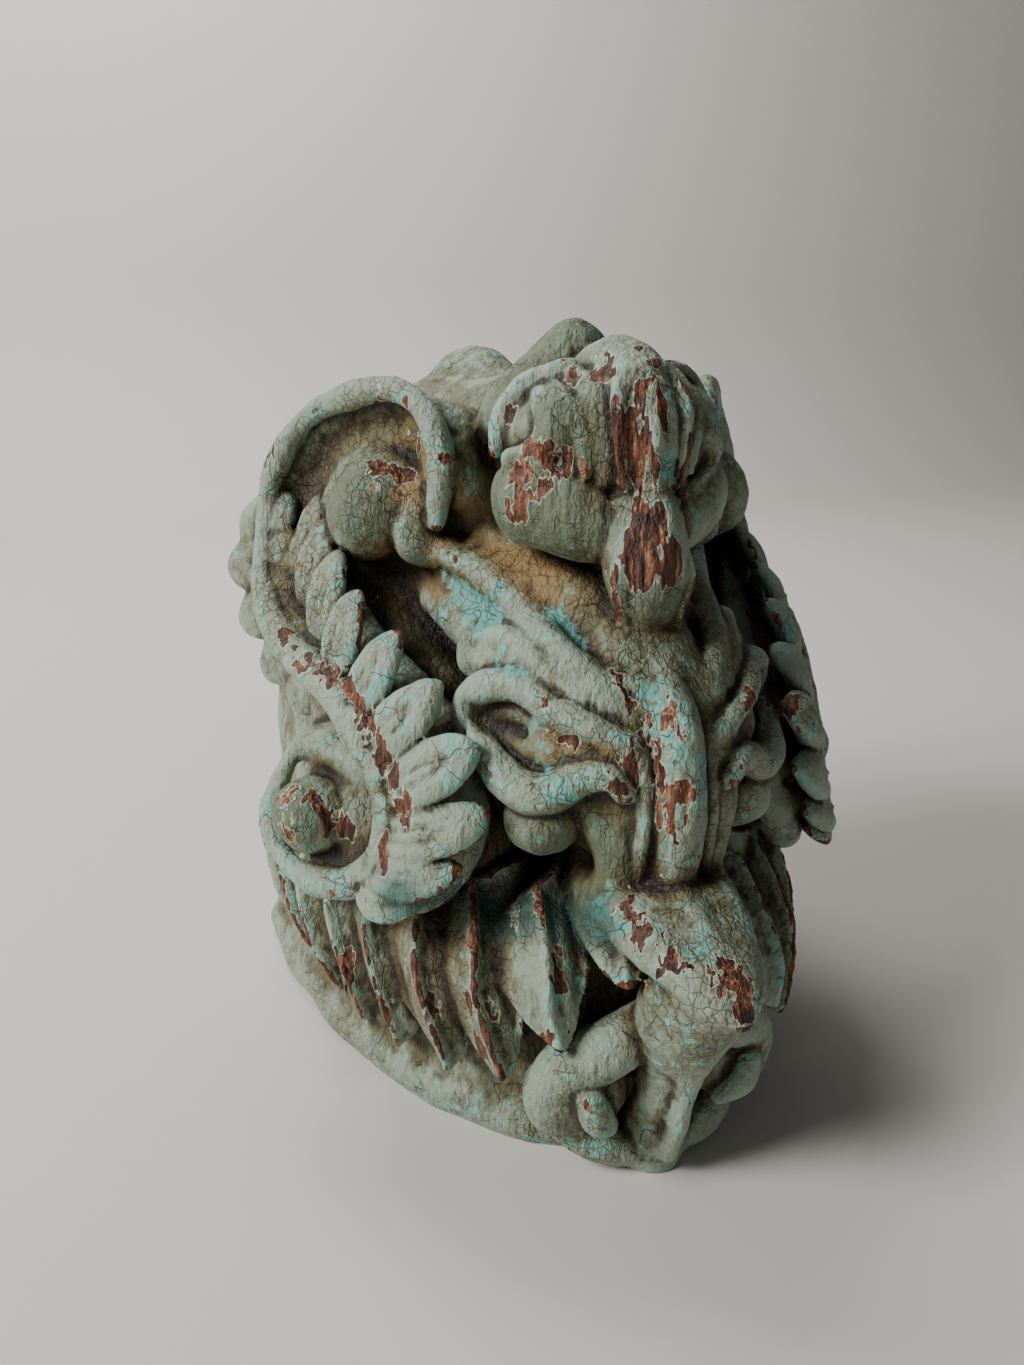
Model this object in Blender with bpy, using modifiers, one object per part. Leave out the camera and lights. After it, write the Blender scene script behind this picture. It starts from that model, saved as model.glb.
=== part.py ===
"""Carved and painted wooden corbel: one block of wood with a flat wall face, a bud-shaped head,
a scroll on each flank, a rounded band down the front and a great leaf over a small flat foot.

Metres, +Z up. X is the symmetry axis, the front faces -Y, and the origin is the fixing point
in the middle of the wall face. The carving is drawn in modules on the left half (x below 0),
as the carver drew it, and the right half is its mirror.
"""
import bpy
import bmesh
from math import asin, cos, pi, radians, sin
from mathutils import Matrix, Vector
from mathutils.bvhtree import BVHTree

# Sizes of the whole piece
HEIGHT = 0.252          # foot to the crown of the head
WIDTH = 0.2112          # across the leaves on the flanks
DEPTH = 0.228           # wall face to the tip of the great leaf
MOUNT_HEIGHT = 0.108    # foot to the fixing point on the wall face

# The same three in the carver's drawing, in modules
DRAWN_HEIGHT = 1.05
DRAWN_WIDTH = 0.88
DRAWN_DEPTH = 0.95
DRAWN_DATUM = 0.45      # from the foot to the level that the block is fused about

# Sizes of the carved members, in metres
RAIL = 0.0085           # width of the rail that edges the scroll
EYE = 0.0290            # width of the pod in the eye of each scroll
BAND = 0.0360           # width of the band down the front
BAND_SWELL = 0.0070     # how far the band's middle stands out from its sides
KNOB = 0.0200           # width of the ball behind the head
TONGUE = 0.0255         # width of the tongue that hangs from the head
LEAFLET = 0.0168        # width of a leaflet beside the scroll
SKIRT_LOBES = 9         # lobes of the great leaf on each side of its middle one
RIM_HEIGHT = 0.0140     # height of the plain rim round the foot

# Grain of the solid
VOXEL = 0.0022          # finest detail kept when the members are fused
SMOOTHING = 3           # passes that soften the joins, as a gouge and paint do
FACES = 9900            # triangles left when the fused members are thinned

COLOURS = {"corbel": (0.30, 0.36, 0.29)}
PAINT_ROUGHNESS = 0.62


def module():
    """The carver's module along the height, for widths and thicknesses."""
    return HEIGHT / DRAWN_HEIGHT


def place(x, y, z):
    """A point of the drawing, in modules, as a point of the block, with the datum at zero."""
    return Vector((x * WIDTH / DRAWN_WIDTH, y * DEPTH / DRAWN_DEPTH,
                   z * HEIGHT / DRAWN_HEIGHT - DRAWN_DATUM * HEIGHT / DRAWN_HEIGHT))


# The flank: a flat drawing board that holds the scroll. It faces out and a little up, and its
# own origin is the eye of the upper scroll. Across runs to the front, up runs up the board.
FLANK_EYE = (-0.262, -0.41, 0.85)
FLANK_ACROSS = Vector((0.58, -0.815, 0)).normalized()
FLANK_OUT = Vector((-0.815, -0.58, 0.36)).normalized()
FLANK_UP = FLANK_OUT.cross(FLANK_ACROSS)


def flank(across, up, out=0.0):
    """A point on the flank's drawing board, in modules."""
    point = Vector(FLANK_EYE) + FLANK_ACROSS * across + FLANK_UP * up + FLANK_OUT * out
    return place(*point)


def smooth_path(points, steps=5):
    """Points along a smooth curve through the given ones (Catmull-Rom)."""
    ends = [points[0] * 2 - points[1]] + list(points) + [points[-1] * 2 - points[-2]]
    path = []
    for a, b, c, d in zip(ends, ends[1:], ends[2:], ends[3:]):
        for k in range(steps):
            t = k / steps
            path.append(((b * 2) + (c - a) * t + (a * 2 - b * 5 + c * 4 - d) * t * t
                         + (b * 3 - a - c * 3 + d) * t * t * t) / 2)
    return path + [points[-1]]


def member(name, points, widths, flat=None, facing=None):
    """A carved member: a round bar along a smooth path, its width given at each point.
    With flat, it is squeezed to that share of its width along the direction facing."""
    path = smooth_path([Vector((*p, w)) for p, w in zip(points, widths)])
    curve = bpy.data.curves.new(name, "CURVE")
    curve.dimensions = "3D"
    curve.bevel_depth = 0.5
    curve.bevel_resolution = 3
    curve.use_fill_caps = True
    spline = curve.splines.new("POLY")
    spline.points.add(len(path) - 1)
    squeeze = Matrix.Identity(4)
    if flat:
        squeeze = Matrix.Scale(flat, 4, facing)
    middle = points[len(points) // 2]
    lay = Matrix.Translation(middle) @ squeeze @ Matrix.Translation(-middle)
    unlay = lay.inverted()
    for point, p in zip(spline.points, path):
        point.co = (*(unlay @ p.to_3d()), 1)
        point.radius = max(p.w, 0.0004)
    piece = bpy.data.objects.new(name, curve)
    BLANKS.objects.link(piece)
    mesh = evaluated(piece)
    mesh.transform(lay)
    return close_caps(mesh)


def close_caps(mesh):
    """Welds the loose caps of a bar, so that it is one closed skin."""
    form = bmesh.new()
    form.from_mesh(mesh)
    bmesh.ops.remove_doubles(form, verts=form.verts, dist=0.00002)
    bmesh.ops.recalc_face_normals(form, faces=form.faces)
    form.to_mesh(mesh)
    form.free()
    return mesh


def boss(name, centre, widths, turn=None):
    """A rounded boss: a ball of the three given widths, turned by the given matrix."""
    mesh = bpy.data.meshes.new(name)
    form = bmesh.new()
    bmesh.ops.create_uvsphere(form, u_segments=20, v_segments=12, radius=0.5)
    form.to_mesh(mesh)
    form.free()
    turn = turn or Matrix.Identity(3)
    mesh.transform(Matrix.Translation(centre) @ turn.to_4x4() @ Matrix.Diagonal((*widths, 1)))
    return mesh


def stack(name, rings):
    """A solid lofted through closed rings of equal count, one above another."""
    mesh = bpy.data.meshes.new(name)
    form = bmesh.new()
    loops = [[form.verts.new(p) for p in ring] for ring in rings]
    for low, high in zip(loops, loops[1:]):
        for k in range(len(low)):
            j = (k + 1) % len(low)
            form.faces.new((low[k], low[j], high[j], high[k]))
    form.faces.new(reversed(loops[0]))
    form.faces.new(loops[-1])
    bmesh.ops.recalc_face_normals(form, faces=form.faces)
    form.to_mesh(mesh)
    form.free()
    return mesh


def foot_plan(angle, share, z):
    """A point round the foot's half-oval plan: angle 0 at the front, 90 degrees at the wall."""
    return Vector((-0.40 * share * sin(angle), -0.77 * share * cos(angle), z))


def core():
    """The plain block behind the carving: the bowl above the foot, and the trunk above that."""
    span = [radians(a) for a in range(-100, 101, 8)]
    bowl = []
    for z, share in ((-0.04, 0.92), (0.02, 0.93), (0.07, 0.94), (0.12, 0.93), (0.20, 0.93),
                     (0.28, 0.94), (0.35, 0.86), (0.40, 0.72)):
        bowl.append([place(*foot_plan(a, share, z)) for a in span])
    trunk = []
    for z, wall, side, inner, nose in (
            (0.30, (0.37, 0.08), (0.36, -0.26), (0.21, -0.44), (0.05, -0.60)),
            (0.42, (0.37, 0.08), (0.36, -0.27), (0.19, -0.42), (0.05, -0.60)),
            (0.55, (0.37, 0.08), (0.34, -0.26), (0.17, -0.45), (0.05, -0.68)),
            (0.66, (0.36, 0.08), (0.33, -0.24), (0.16, -0.43), (0.05, -0.66)),
            (0.76, (0.34, 0.08), (0.31, -0.21), (0.14, -0.39), (0.05, -0.57)),
            (0.86, (0.31, 0.08), (0.28, -0.18), (0.11, -0.34), (0.04, -0.48)),
            (0.94, (0.25, 0.08), (0.22, -0.15), (0.09, -0.29), (0.04, -0.44)),
            (0.985, (0.13, 0.08), (0.11, -0.11), (0.05, -0.24), (0.02, -0.38))):
        half = [wall, side, inner, nose]
        ring = [(-x, y) for x, y in half] + [(x, y) for x, y in reversed(half)]
        trunk.append([place(x, y, z) for x, y in ring])
    return [stack("bowl", bowl), stack("trunk", trunk)]


def scroll():
    """One flank's scroll: an S of two volutes, drawn on the flank's board."""
    m = module()
    rail = ((0.088, -0.030), (0.094, 0.050), (0.055, 0.113), (-0.027, 0.130), (-0.145, 0.095),
            (-0.200, 0.025), (-0.215, -0.060), (-0.192, -0.145), (-0.137, -0.200), (-0.070, -0.236),
            (0.015, -0.268), (0.090, -0.322), (0.136, -0.385), (0.136, -0.455), (0.075, -0.508),
            (-0.010, -0.520), (-0.074, -0.490), (-0.088, -0.425), (-0.070, -0.360), (0.000, -0.335))
    rise = (-0.03, -0.005, 0.01, 0.01, 0.0, -0.01, -0.02, -0.02, -0.005, 0.01, 0.02,
            0.02, 0.01, 0.0, -0.01, -0.02, -0.02, -0.02, -0.025, -0.03)
    edge = [flank(a, u, r) for (a, u), r in zip(rail, rise)]
    girth = (0.75, 0.95, 1.0, 1.0, 0.9, 0.9, 0.9, 1.0, 1.2, 1.3, 1.4, 1.45, 1.45, 1.35, 1.1, 0.95, 0.9, 0.9, 0.8, 0.7)
    pieces = [member("rail", edge, [RAIL * g for g in girth])]
    # the wall under the rail, which closes the channel on its outer side
    for depth, width in ((0.035, 0.050), (0.075, 0.070), (0.120, 0.090)):
        under = [flank(a + 0.05 * min(1, max(0, -u - 0.25) * 6) - (a - 0.05) * (0.12 + depth * 0.5),
                       (u + 0.2) * (0.94 - depth * 0.3) - 0.2, r - depth)
                 for (a, u), r in zip(rail, rise)]
        pieces.append(member("rail_wall", under[1:], [width * m] * (len(rail) - 1)))
    # the dished floor of each volute
    turn = Matrix((FLANK_ACROSS, FLANK_UP, FLANK_OUT)).transposed()
    pieces.append(boss("upper_dish", flank(-0.060, 0.015, -0.105), (0.27 * m, 0.23 * m, 0.13 * m), turn))
    pieces.append(boss("lower_dish", flank(0.035, -0.430, -0.085), (0.17 * m, 0.19 * m, 0.15 * m), turn))
    # the cheek joins the scroll to the wall side of the block
    cheek = ((-0.05, 0.00), (-0.09, -0.10), (-0.04, -0.20), (0.05, -0.30), (0.09, -0.42))
    pieces.append(member("cheek", [flank(a, u, -0.15) for a, u in cheek],
                         [w * m for w in (0.20, 0.20, 0.20, 0.19, 0.17)]))
    # pods in the two eyes, and the shelf above the lower one
    pieces.append(boss("upper_pod", flank(-0.020, -0.018, -0.035), (EYE, EYE * 1.23, EYE * 1.06),
                       turn @ Matrix.Rotation(radians(-35), 3, "Z")))
    pieces.append(boss("pod_back", flank(0.045, -0.020, -0.050), (EYE * 0.57, EYE * 1.07, EYE * 0.74), turn))
    pieces.append(boss("lower_pod", flank(-0.012, -0.436, -0.025), (EYE * 0.92, EYE * 0.89, EYE * 1.06), turn))
    shelf = [flank(a, u, -0.045) for a, u in ((-0.070, -0.355), (-0.010, -0.345), (0.050, -0.360))]
    pieces.append(member("shelf", shelf, [w * m for w in (0.05, 0.07, 0.06)]))
    # the bed of the leaflets, then the leaflets on the front side, root and tip on the board
    bed = ((-0.105, -0.120), (-0.045, -0.175), (0.020, -0.225), (0.085, -0.270), (0.150, -0.325),
           (0.185, -0.395), (0.165, -0.465), (0.110, -0.500))
    pieces.append(member("leaf_bed", [flank(a, u, -0.045) for a, u in bed],
                         [w * m for w in (0.05, 0.07, 0.08, 0.09, 0.10, 0.11, 0.10, 0.06)], 0.7, FLANK_OUT))
    leaflets = (((-0.150, -0.130), (-0.135, -0.005), -0.045, 0.8), ((-0.105, -0.165), (-0.100, -0.045), -0.030, 0.85),
                ((-0.055, -0.205), (-0.050, -0.090), -0.012, 0.85), ((0.000, -0.252), (0.010, -0.138), 0.004, 0.9),
                ((0.052, -0.285), (0.095, -0.182), 0.012, 0.95), ((0.098, -0.326), (0.172, -0.236), 0.014, 1.0),
                ((0.130, -0.372), (0.248, -0.288), 0.012, 1.05), ((0.140, -0.425), (0.270, -0.372), 0.005, 1.0),
                ((0.135, -0.470), (0.245, -0.442), 0.000, 0.9), ((0.105, -0.500), (0.205, -0.486), -0.010, 0.8))
    for k, (root, tip, lift, size) in enumerate(leaflets):
        steps = [(0.0, 0.60), (0.30, 1.0), (0.62, 0.98), (0.85, 0.66), (1.0, 0.22)]
        path = [flank(root[0] + (tip[0] - root[0]) * t, root[1] + (tip[1] - root[1]) * t,
                      lift + 0.022 * sin(pi * t)) for t, _ in steps]
        pieces.append(member(f"leaflet_{k}", path, [LEAFLET * size * w for _, w in steps], 0.55, FLANK_OUT))
    # leaflets on the wall side, further back and broader
    back = (((-0.365, -0.235, 0.800), (-0.398, -0.165, 0.770)), ((-0.365, -0.260, 0.750), (-0.424, -0.165, 0.715)),
            ((-0.360, -0.285, 0.690), (-0.418, -0.200, 0.640)), ((-0.345, -0.325, 0.635), (-0.392, -0.255, 0.578)),
            ((-0.325, -0.375, 0.600), (-0.366, -0.325, 0.545)), ((-0.305, -0.420, 0.585), (-0.342, -0.385, 0.530)))
    for k, (root, tip) in enumerate(back):
        root, tip = Vector(root), Vector(tip)
        path = [place(*root.lerp(tip, t)) for t in (0.0, 0.4, 0.75, 1.0)]
        pieces.append(member(f"back_leaflet_{k}", path,
                             [LEAFLET * w for w in (1.1, 1.35, 1.1, 0.4)], 0.65, FLANK_OUT))
    return pieces


def bars(name, runs):
    """Members given in modules: each a path and its widths, and where it is squeezed, how far
    and which way it faces."""
    m = module()
    return [member(f"{name}_{k}", [place(*p) for p in points], [w * m for w in widths], *squeeze)
            for k, (points, widths, *squeeze) in enumerate(runs)]


def ribbons():
    """The leaf on the wall under the head, and the ribbons that run from the scroll to the band."""
    m = module()
    side = Vector((-1, -0.75, 0.25)).normalized()
    pieces = bars("ribbon", (
        # the wall under the head, and the sharp edge and the swelling of the leaf that lies on it
        (((-0.185, -0.33, 0.755), (-0.135, -0.450, 0.730), (-0.085, -0.560, 0.705), (-0.035, -0.640, 0.680)),
         (0.14, 0.16, 0.16, 0.12), 0.6, side),
        (((-0.200, -0.400, 0.772), (-0.182, -0.470, 0.768), (-0.155, -0.535, 0.752), (-0.128, -0.590, 0.722),
          (-0.108, -0.630, 0.700)), (0.024, 0.032, 0.032, 0.026, 0.016)),
        (((-0.190, -0.430, 0.700), (-0.165, -0.500, 0.682), (-0.135, -0.570, 0.664), (-0.100, -0.650, 0.640)),
         (0.04, 0.065, 0.065, 0.045)),
        # two ribs over the arch
        (((-0.172, -0.555, 0.672), (-0.152, -0.595, 0.682), (-0.135, -0.632, 0.672), (-0.118, -0.668, 0.650),
          (-0.095, -0.712, 0.632)), (0.030, 0.038, 0.038, 0.034, 0.028)),
        (((-0.140, -0.575, 0.712), (-0.118, -0.622, 0.702), (-0.098, -0.670, 0.680), (-0.072, -0.712, 0.650)),
         (0.024, 0.034, 0.036, 0.036)),
        # the bed of the arch and of the ball, against the front band
        (((-0.130, -0.590, 0.590), (-0.090, -0.655, 0.580), (-0.045, -0.710, 0.570)), (0.10, 0.10, 0.10)),
        (((-0.13, -0.55, 0.52), (-0.09, -0.66, 0.49), (-0.05, -0.72, 0.47)), (0.13, 0.10, 0.09)),
        # the arch that springs from the scroll over a deep hollow
        (((-0.196, -0.596, 0.555), (-0.203, -0.612, 0.598), (-0.190, -0.630, 0.632), (-0.160, -0.660, 0.640),
          (-0.128, -0.706, 0.622), (-0.095, -0.745, 0.606), (-0.060, -0.765, 0.592)),
         (0.038, 0.040, 0.042, 0.042, 0.040, 0.038, 0.034)),
        # the ribbon that turns over the ball, and the sweep from the ball into the band
        (((-0.196, -0.640, 0.578), (-0.188, -0.668, 0.552), (-0.166, -0.706, 0.528), (-0.140, -0.732, 0.530),
          (-0.112, -0.752, 0.552), (-0.085, -0.772, 0.558), (-0.068, -0.776, 0.540)),
         (0.034, 0.046, 0.054, 0.050, 0.044, 0.038, 0.034)),
        (((-0.100, -0.720, 0.530), (-0.078, -0.738, 0.490), (-0.055, -0.742, 0.430), (-0.045, -0.740, 0.390)),
         (0.03, 0.05, 0.06, 0.06)),
    ))
    pieces.append(boss("ball", place(-0.128, -0.692, 0.480), (0.100 * m, 0.100 * m, 0.092 * m)))
    return pieces


def head_side():
    """One side of the head: a shell with its rim and folds, over a smooth bulb."""
    m = module()
    pieces = [boss("cheek_shell", place(-0.052, -0.545, 0.925), (0.164 * m, 0.145 * m, 0.150 * m))]
    pieces += bars("head_side", (
        # the slope down from the knob, the rim of the shell, and its three folds
        (((0, -0.455, 1.010), (-0.045, -0.462, 0.985), (-0.092, -0.472, 0.945)), (0.07, 0.08, 0.08)),
        (((-0.040, -0.604, 1.004), (-0.078, -0.588, 1.000), (-0.114, -0.566, 0.980), (-0.136, -0.548, 0.945),
          (-0.140, -0.548, 0.905)), (0.020, 0.026, 0.030, 0.030, 0.024)),
        (((-0.102, -0.590, 0.972), (-0.098, -0.612, 0.952), (-0.100, -0.624, 0.925), (-0.118, -0.612, 0.906),
          (-0.136, -0.586, 0.905)), (0.022, 0.036, 0.042, 0.036, 0.020)),
        (((-0.086, -0.598, 0.980), (-0.074, -0.624, 0.958), (-0.066, -0.642, 0.925), (-0.064, -0.650, 0.890)),
         (0.018, 0.028, 0.030, 0.022)),
        (((-0.064, -0.606, 0.990), (-0.046, -0.636, 0.965), (-0.040, -0.652, 0.925), (-0.040, -0.656, 0.880)),
         (0.028, 0.046, 0.052, 0.042)),
        # the bulb, and the ridge along its upper edge
        (((-0.096, -0.582, 0.850), (-0.062, -0.616, 0.832), (-0.022, -0.640, 0.818)), (0.122, 0.112, 0.088)),
        (((-0.138, -0.580, 0.898), (-0.114, -0.614, 0.892), (-0.090, -0.642, 0.876), (-0.052, -0.664, 0.858)),
         (0.022, 0.028, 0.026, 0.020)),
        # the raised edge of the panel
        (((-0.026, -0.650, 1.000), (-0.041, -0.677, 0.968), (-0.043, -0.688, 0.915), (-0.036, -0.689, 0.868)),
         (0.018, 0.022, 0.022, 0.018)),
    ))
    return pieces


def head_middle():
    """The middle of the head, its hanging tongue, the ridge behind it and the front band."""
    m = module()
    pieces = bars("head_middle", (
        (((0, 0.05, 0.965), (0, -0.06, 0.965), (0, -0.18, 0.935), (0, -0.30, 0.935), (0, -0.42, 0.955),
          (0, -0.50, 0.955)), (0.15, 0.14, 0.12, 0.12, 0.13, 0.12)),
        (((0, -0.40, 0.90), (0, -0.50, 0.90), (0, -0.57, 0.88)), (0.22, 0.20, 0.15)),
        (((0, -0.56, 0.80), (0, -0.62, 0.74), (0, -0.65, 0.70)), (0.09, 0.06, 0.05)),
        (((0, -0.530, 0.985), (0, -0.594, 0.993), (0, -0.640, 0.965), (0, -0.660, 0.920), (0, -0.660, 0.868)),
         (0.088, 0.098, 0.092, 0.086, 0.074)),
    ))
    pieces.append(boss("knob", place(0, -0.452, 1.026), (KNOB, KNOB, KNOB)))
    tongue = ((0, -0.650, 0.855), (0, -0.670, 0.832), (0, -0.677, 0.785), (0, -0.677, 0.735), (0, -0.660, 0.688))
    pieces.append(member("tongue", [place(*p) for p in tongue], [TONGUE * w for w in (0.72, 0.90, 1.0, 0.80, 0.48)]))
    band = ((0, -0.655, 0.690), (0, -0.712, 0.655), (0, -0.760, 0.605), (0, -0.782, 0.540), (0, -0.782, 0.470),
            (0, -0.765, 0.390))
    pieces.append(member("band", [place(*p) + Vector((0, BAND_SWELL, 0)) for p in band],
                         [BAND * w for w in (0.8, 1, 1, 1.06, 1.10, 1.10)], 0.5, Vector((0, 1, 0))))
    pieces.append(member("band_bead", [place(*p) - Vector((0, BAND_SWELL / 5, 0)) for p in band],
                         [BAND * 0.42 * w for w in (0.8, 1, 1, 1, 1, 0.95)]))
    keel = ((0, -0.62, 0.66), (0, -0.70, 0.60), (0, -0.71, 0.50), (0, -0.68, 0.40))
    pieces.append(member("keel", [place(*p) for p in keel], [w * m for w in (0.12, 0.17, 0.18, 0.16)]))
    return pieces


def great_leaf():
    """The great leaf's broad middle lobe with its worn tip, its flutes, and the stem below it."""
    over = Vector((0, -0.35, 0.94)).normalized()
    return bars("great_leaf", (
        (((0, -0.56, 0.360), (0, -0.68, 0.382), (0, -0.80, 0.372), (0, -0.890, 0.346), (0, -0.943, 0.321)),
         (0.18, 0.20, 0.17, 0.105, 0.040), 0.55, over),
        (((0, -0.68, 0.425), (0, -0.80, 0.406), (0, -0.885, 0.370), (0, -0.930, 0.336)), (0.034, 0.038, 0.034, 0.024)),
        (((0, -0.885, 0.328), (0, -0.835, 0.27), (0, -0.797, 0.18), (0, -0.765, 0.06), (0, -0.745, -0.03)),
         (0.100, 0.125, 0.090, 0.084, 0.090)),
    ))


def leaf_lobes():
    """The left-hand lobes: bars that run from the throat of the leaf over its shoulder and down
    the bowl, bent round a ring that lies 0.20 inside the rim, and the two hooks under them."""
    m = module()
    pieces = []
    for k in range(SKIRT_LOBES):
        share = k / (SKIRT_LOBES - 1)
        angle = radians(12 + 70 * share)
        span = Vector((0.40 * sin(angle), 0.77 * cos(angle))).length
        radius = 0.240 - 0.075 * share
        low = asin((max(0.085, 0.30 - 0.68 * share) - 0.20) / radius)
        path = []
        for t, reach in ((1.0, 0.84), (0.66, 0.95), (0.4, 1.0), (0.2, 1.0), (0.0, 0.97)):
            bend = low + (1.35 - low) * t
            plan = 1 + (radius * reach * cos(bend) - 0.20) / span
            gather = 1 + 1.2 * min(1.5, max(0, (0.97 - plan) / 0.27))
            path.append(place(*foot_plan(angle / gather, plan, 0.20 + radius * reach * sin(bend))))
        pieces.append(member(f"lobe_{k}", path, [w * m for w in (0.06, 0.085, 0.095, 0.090, 0.050)]))
    pieces += bars("hook", (
        (((-0.060, -0.66, 0.415), (-0.062, -0.76, 0.400), (-0.050, -0.840, 0.375), (-0.026, -0.905, 0.342)),
         (0.034, 0.040, 0.038, 0.024)),
        (((-0.03, -0.775, 0.235), (-0.075, -0.790, 0.205), (-0.108, -0.768, 0.150), (-0.128, -0.740, 0.105),
          (-0.140, -0.722, 0.078)), (0.07, 0.085, 0.085, 0.06, 0.034)),
        (((-0.130, -0.712, 0.066), (-0.105, -0.732, 0.055), (-0.075, -0.750, 0.040), (-0.03, -0.755, 0.025)),
         (0.036, 0.055, 0.060, 0.06)),
    ))
    return pieces


def foot_rim():
    """The plain rim that runs round the foot."""
    low = RIM_HEIGHT / 2 * DRAWN_HEIGHT / HEIGHT
    path = [place(*foot_plan(radians(a), 0.927, low)) for a in range(-96, 97, 12)]
    return [member("foot_rim", path, [RIM_HEIGHT * 1.03] * len(path))]


def mirrored(meshes):
    """The right-hand twins of the left-hand members."""
    twins = []
    for mesh in meshes:
        twin = mesh.copy()
        twin.transform(Matrix.Scale(-1, 4, Vector((1, 0, 0))))
        twin.flip_normals()
        twins.append(twin)
    return meshes + twins


def evaluated(piece):
    """A piece's mesh as its modifiers make it; the piece itself is removed."""
    bpy.context.view_layer.update()
    mesh = bpy.data.meshes.new_from_object(piece.evaluated_get(bpy.context.evaluated_depsgraph_get()))
    bpy.data.objects.remove(piece)
    return mesh


def cut_flat(mesh, point, outward):
    """Cuts a closed mesh flat at a plane, drops what lies outward of it, and closes the cut."""
    form = bmesh.new()
    form.from_mesh(mesh)
    bmesh.ops.bisect_plane(form, geom=form.verts[:] + form.edges[:] + form.faces[:], dist=0.000001,
                           plane_co=point, plane_no=outward, clear_outer=True)
    rim = [edge for edge in form.edges if edge.is_boundary]
    bmesh.ops.triangle_fill(form, edges=rim, use_beauty=True, normal=outward)
    bmesh.ops.recalc_face_normals(form, faces=form.faces)
    form.to_mesh(mesh)
    form.free()


def outer_skin(mesh):
    """Keeps the outer skin alone, so that pockets shut in between members are solid wood."""
    form = bmesh.new()
    form.from_mesh(mesh)
    left = set(form.verts)
    skins = []
    while left:
        skin, edge = set(), [left.pop()]
        while edge:
            vertex = edge.pop()
            skin.add(vertex)
            for link in vertex.link_edges:
                other = link.other_vert(vertex)
                if other in left:
                    left.discard(other)
                    edge.append(other)
        skins.append(skin)
    skins.sort(key=len)
    for skin in skins[:-1]:
        bmesh.ops.delete(form, geom=list(skin), context="VERTS")
    form.to_mesh(mesh)
    form.free()


def untangle(mesh):
    """Relaxes the few spots where thinning has folded one facet through another."""
    form = bmesh.new()
    form.from_mesh(mesh)
    bmesh.ops.triangulate(form, faces=form.faces)
    for _ in range(20):
        form.faces.ensure_lookup_table()
        crossed = set()
        for a, b in BVHTree.FromBMesh(form).overlap(BVHTree.FromBMesh(form)):
            if a < b and not set(form.faces[a].verts) & set(form.faces[b].verts):
                crossed.update(form.faces[a].verts, form.faces[b].verts)
        if not crossed:
            break
        bmesh.ops.smooth_vert(form, verts=list(crossed), factor=0.5,
                              use_axis_x=True, use_axis_y=True, use_axis_z=True)
    form.to_mesh(mesh)
    form.free()


def paint(name):
    material = bpy.data.materials.new(name)
    material.use_nodes = True
    shader = material.node_tree.nodes["Principled BSDF"]
    shader.inputs["Base Color"].default_value = (*COLOURS[name], 1)
    shader.inputs["Roughness"].default_value = PAINT_ROUGHNESS
    shader.inputs["Metallic"].default_value = 0.0
    return material


def fuse(name, meshes):
    """One carved block: the members fused, softened, thinned, cut flat at wall and foot, and
    set with its fixing point at the origin."""
    form = bmesh.new()
    for mesh in meshes:
        form.from_mesh(mesh)
        bpy.data.meshes.remove(mesh)
    whole = bpy.data.meshes.new(name)
    form.to_mesh(whole)
    form.free()
    rough = bpy.data.objects.new("rough", whole)
    BLANKS.objects.link(rough)
    remesh = rough.modifiers.new("fused", "REMESH")
    remesh.mode = "VOXEL"
    remesh.voxel_size = VOXEL
    soften = rough.modifiers.new("softened", "SMOOTH")
    soften.factor = 0.5
    soften.iterations = SMOOTHING
    dense = evaluated(rough)
    outer_skin(dense)
    carved = bpy.data.objects.new("carved", dense)
    BLANKS.objects.link(carved)
    thin = carved.modifiers.new("thinned", "DECIMATE")
    thin.ratio = FACES / sum(len(face.vertices) - 2 for face in dense.polygons)
    thin.use_symmetry = True
    thin.symmetry_axis = "X"
    mesh = evaluated(carved)
    mesh.name = name
    untangle(mesh)
    cut_flat(mesh, (0, 0, 0), (0, 1, 0))
    foot = place(0, 0, 0)
    cut_flat(mesh, foot, (0, 0, -1))
    mesh.transform(Matrix.Translation((0, 0, -MOUNT_HEIGHT - foot.z)))
    mesh.materials.append(paint(name))
    corbel = bpy.data.objects.new(name, mesh)
    CORBEL.objects.link(corbel)
    return corbel


def clear():
    for thing in list(bpy.data.objects):
        bpy.data.objects.remove(thing, do_unlink=True)


def group(name):
    made = bpy.data.collections.new(name)
    bpy.context.scene.collection.children.link(made)
    return made


clear()
CORBEL = group("carved_corbel")
BLANKS = group("blanks")
halves = mirrored(scroll() + ribbons() + head_side() + leaf_lobes())
fuse("corbel", core() + halves + head_middle() + great_leaf() + foot_rim())
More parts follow.
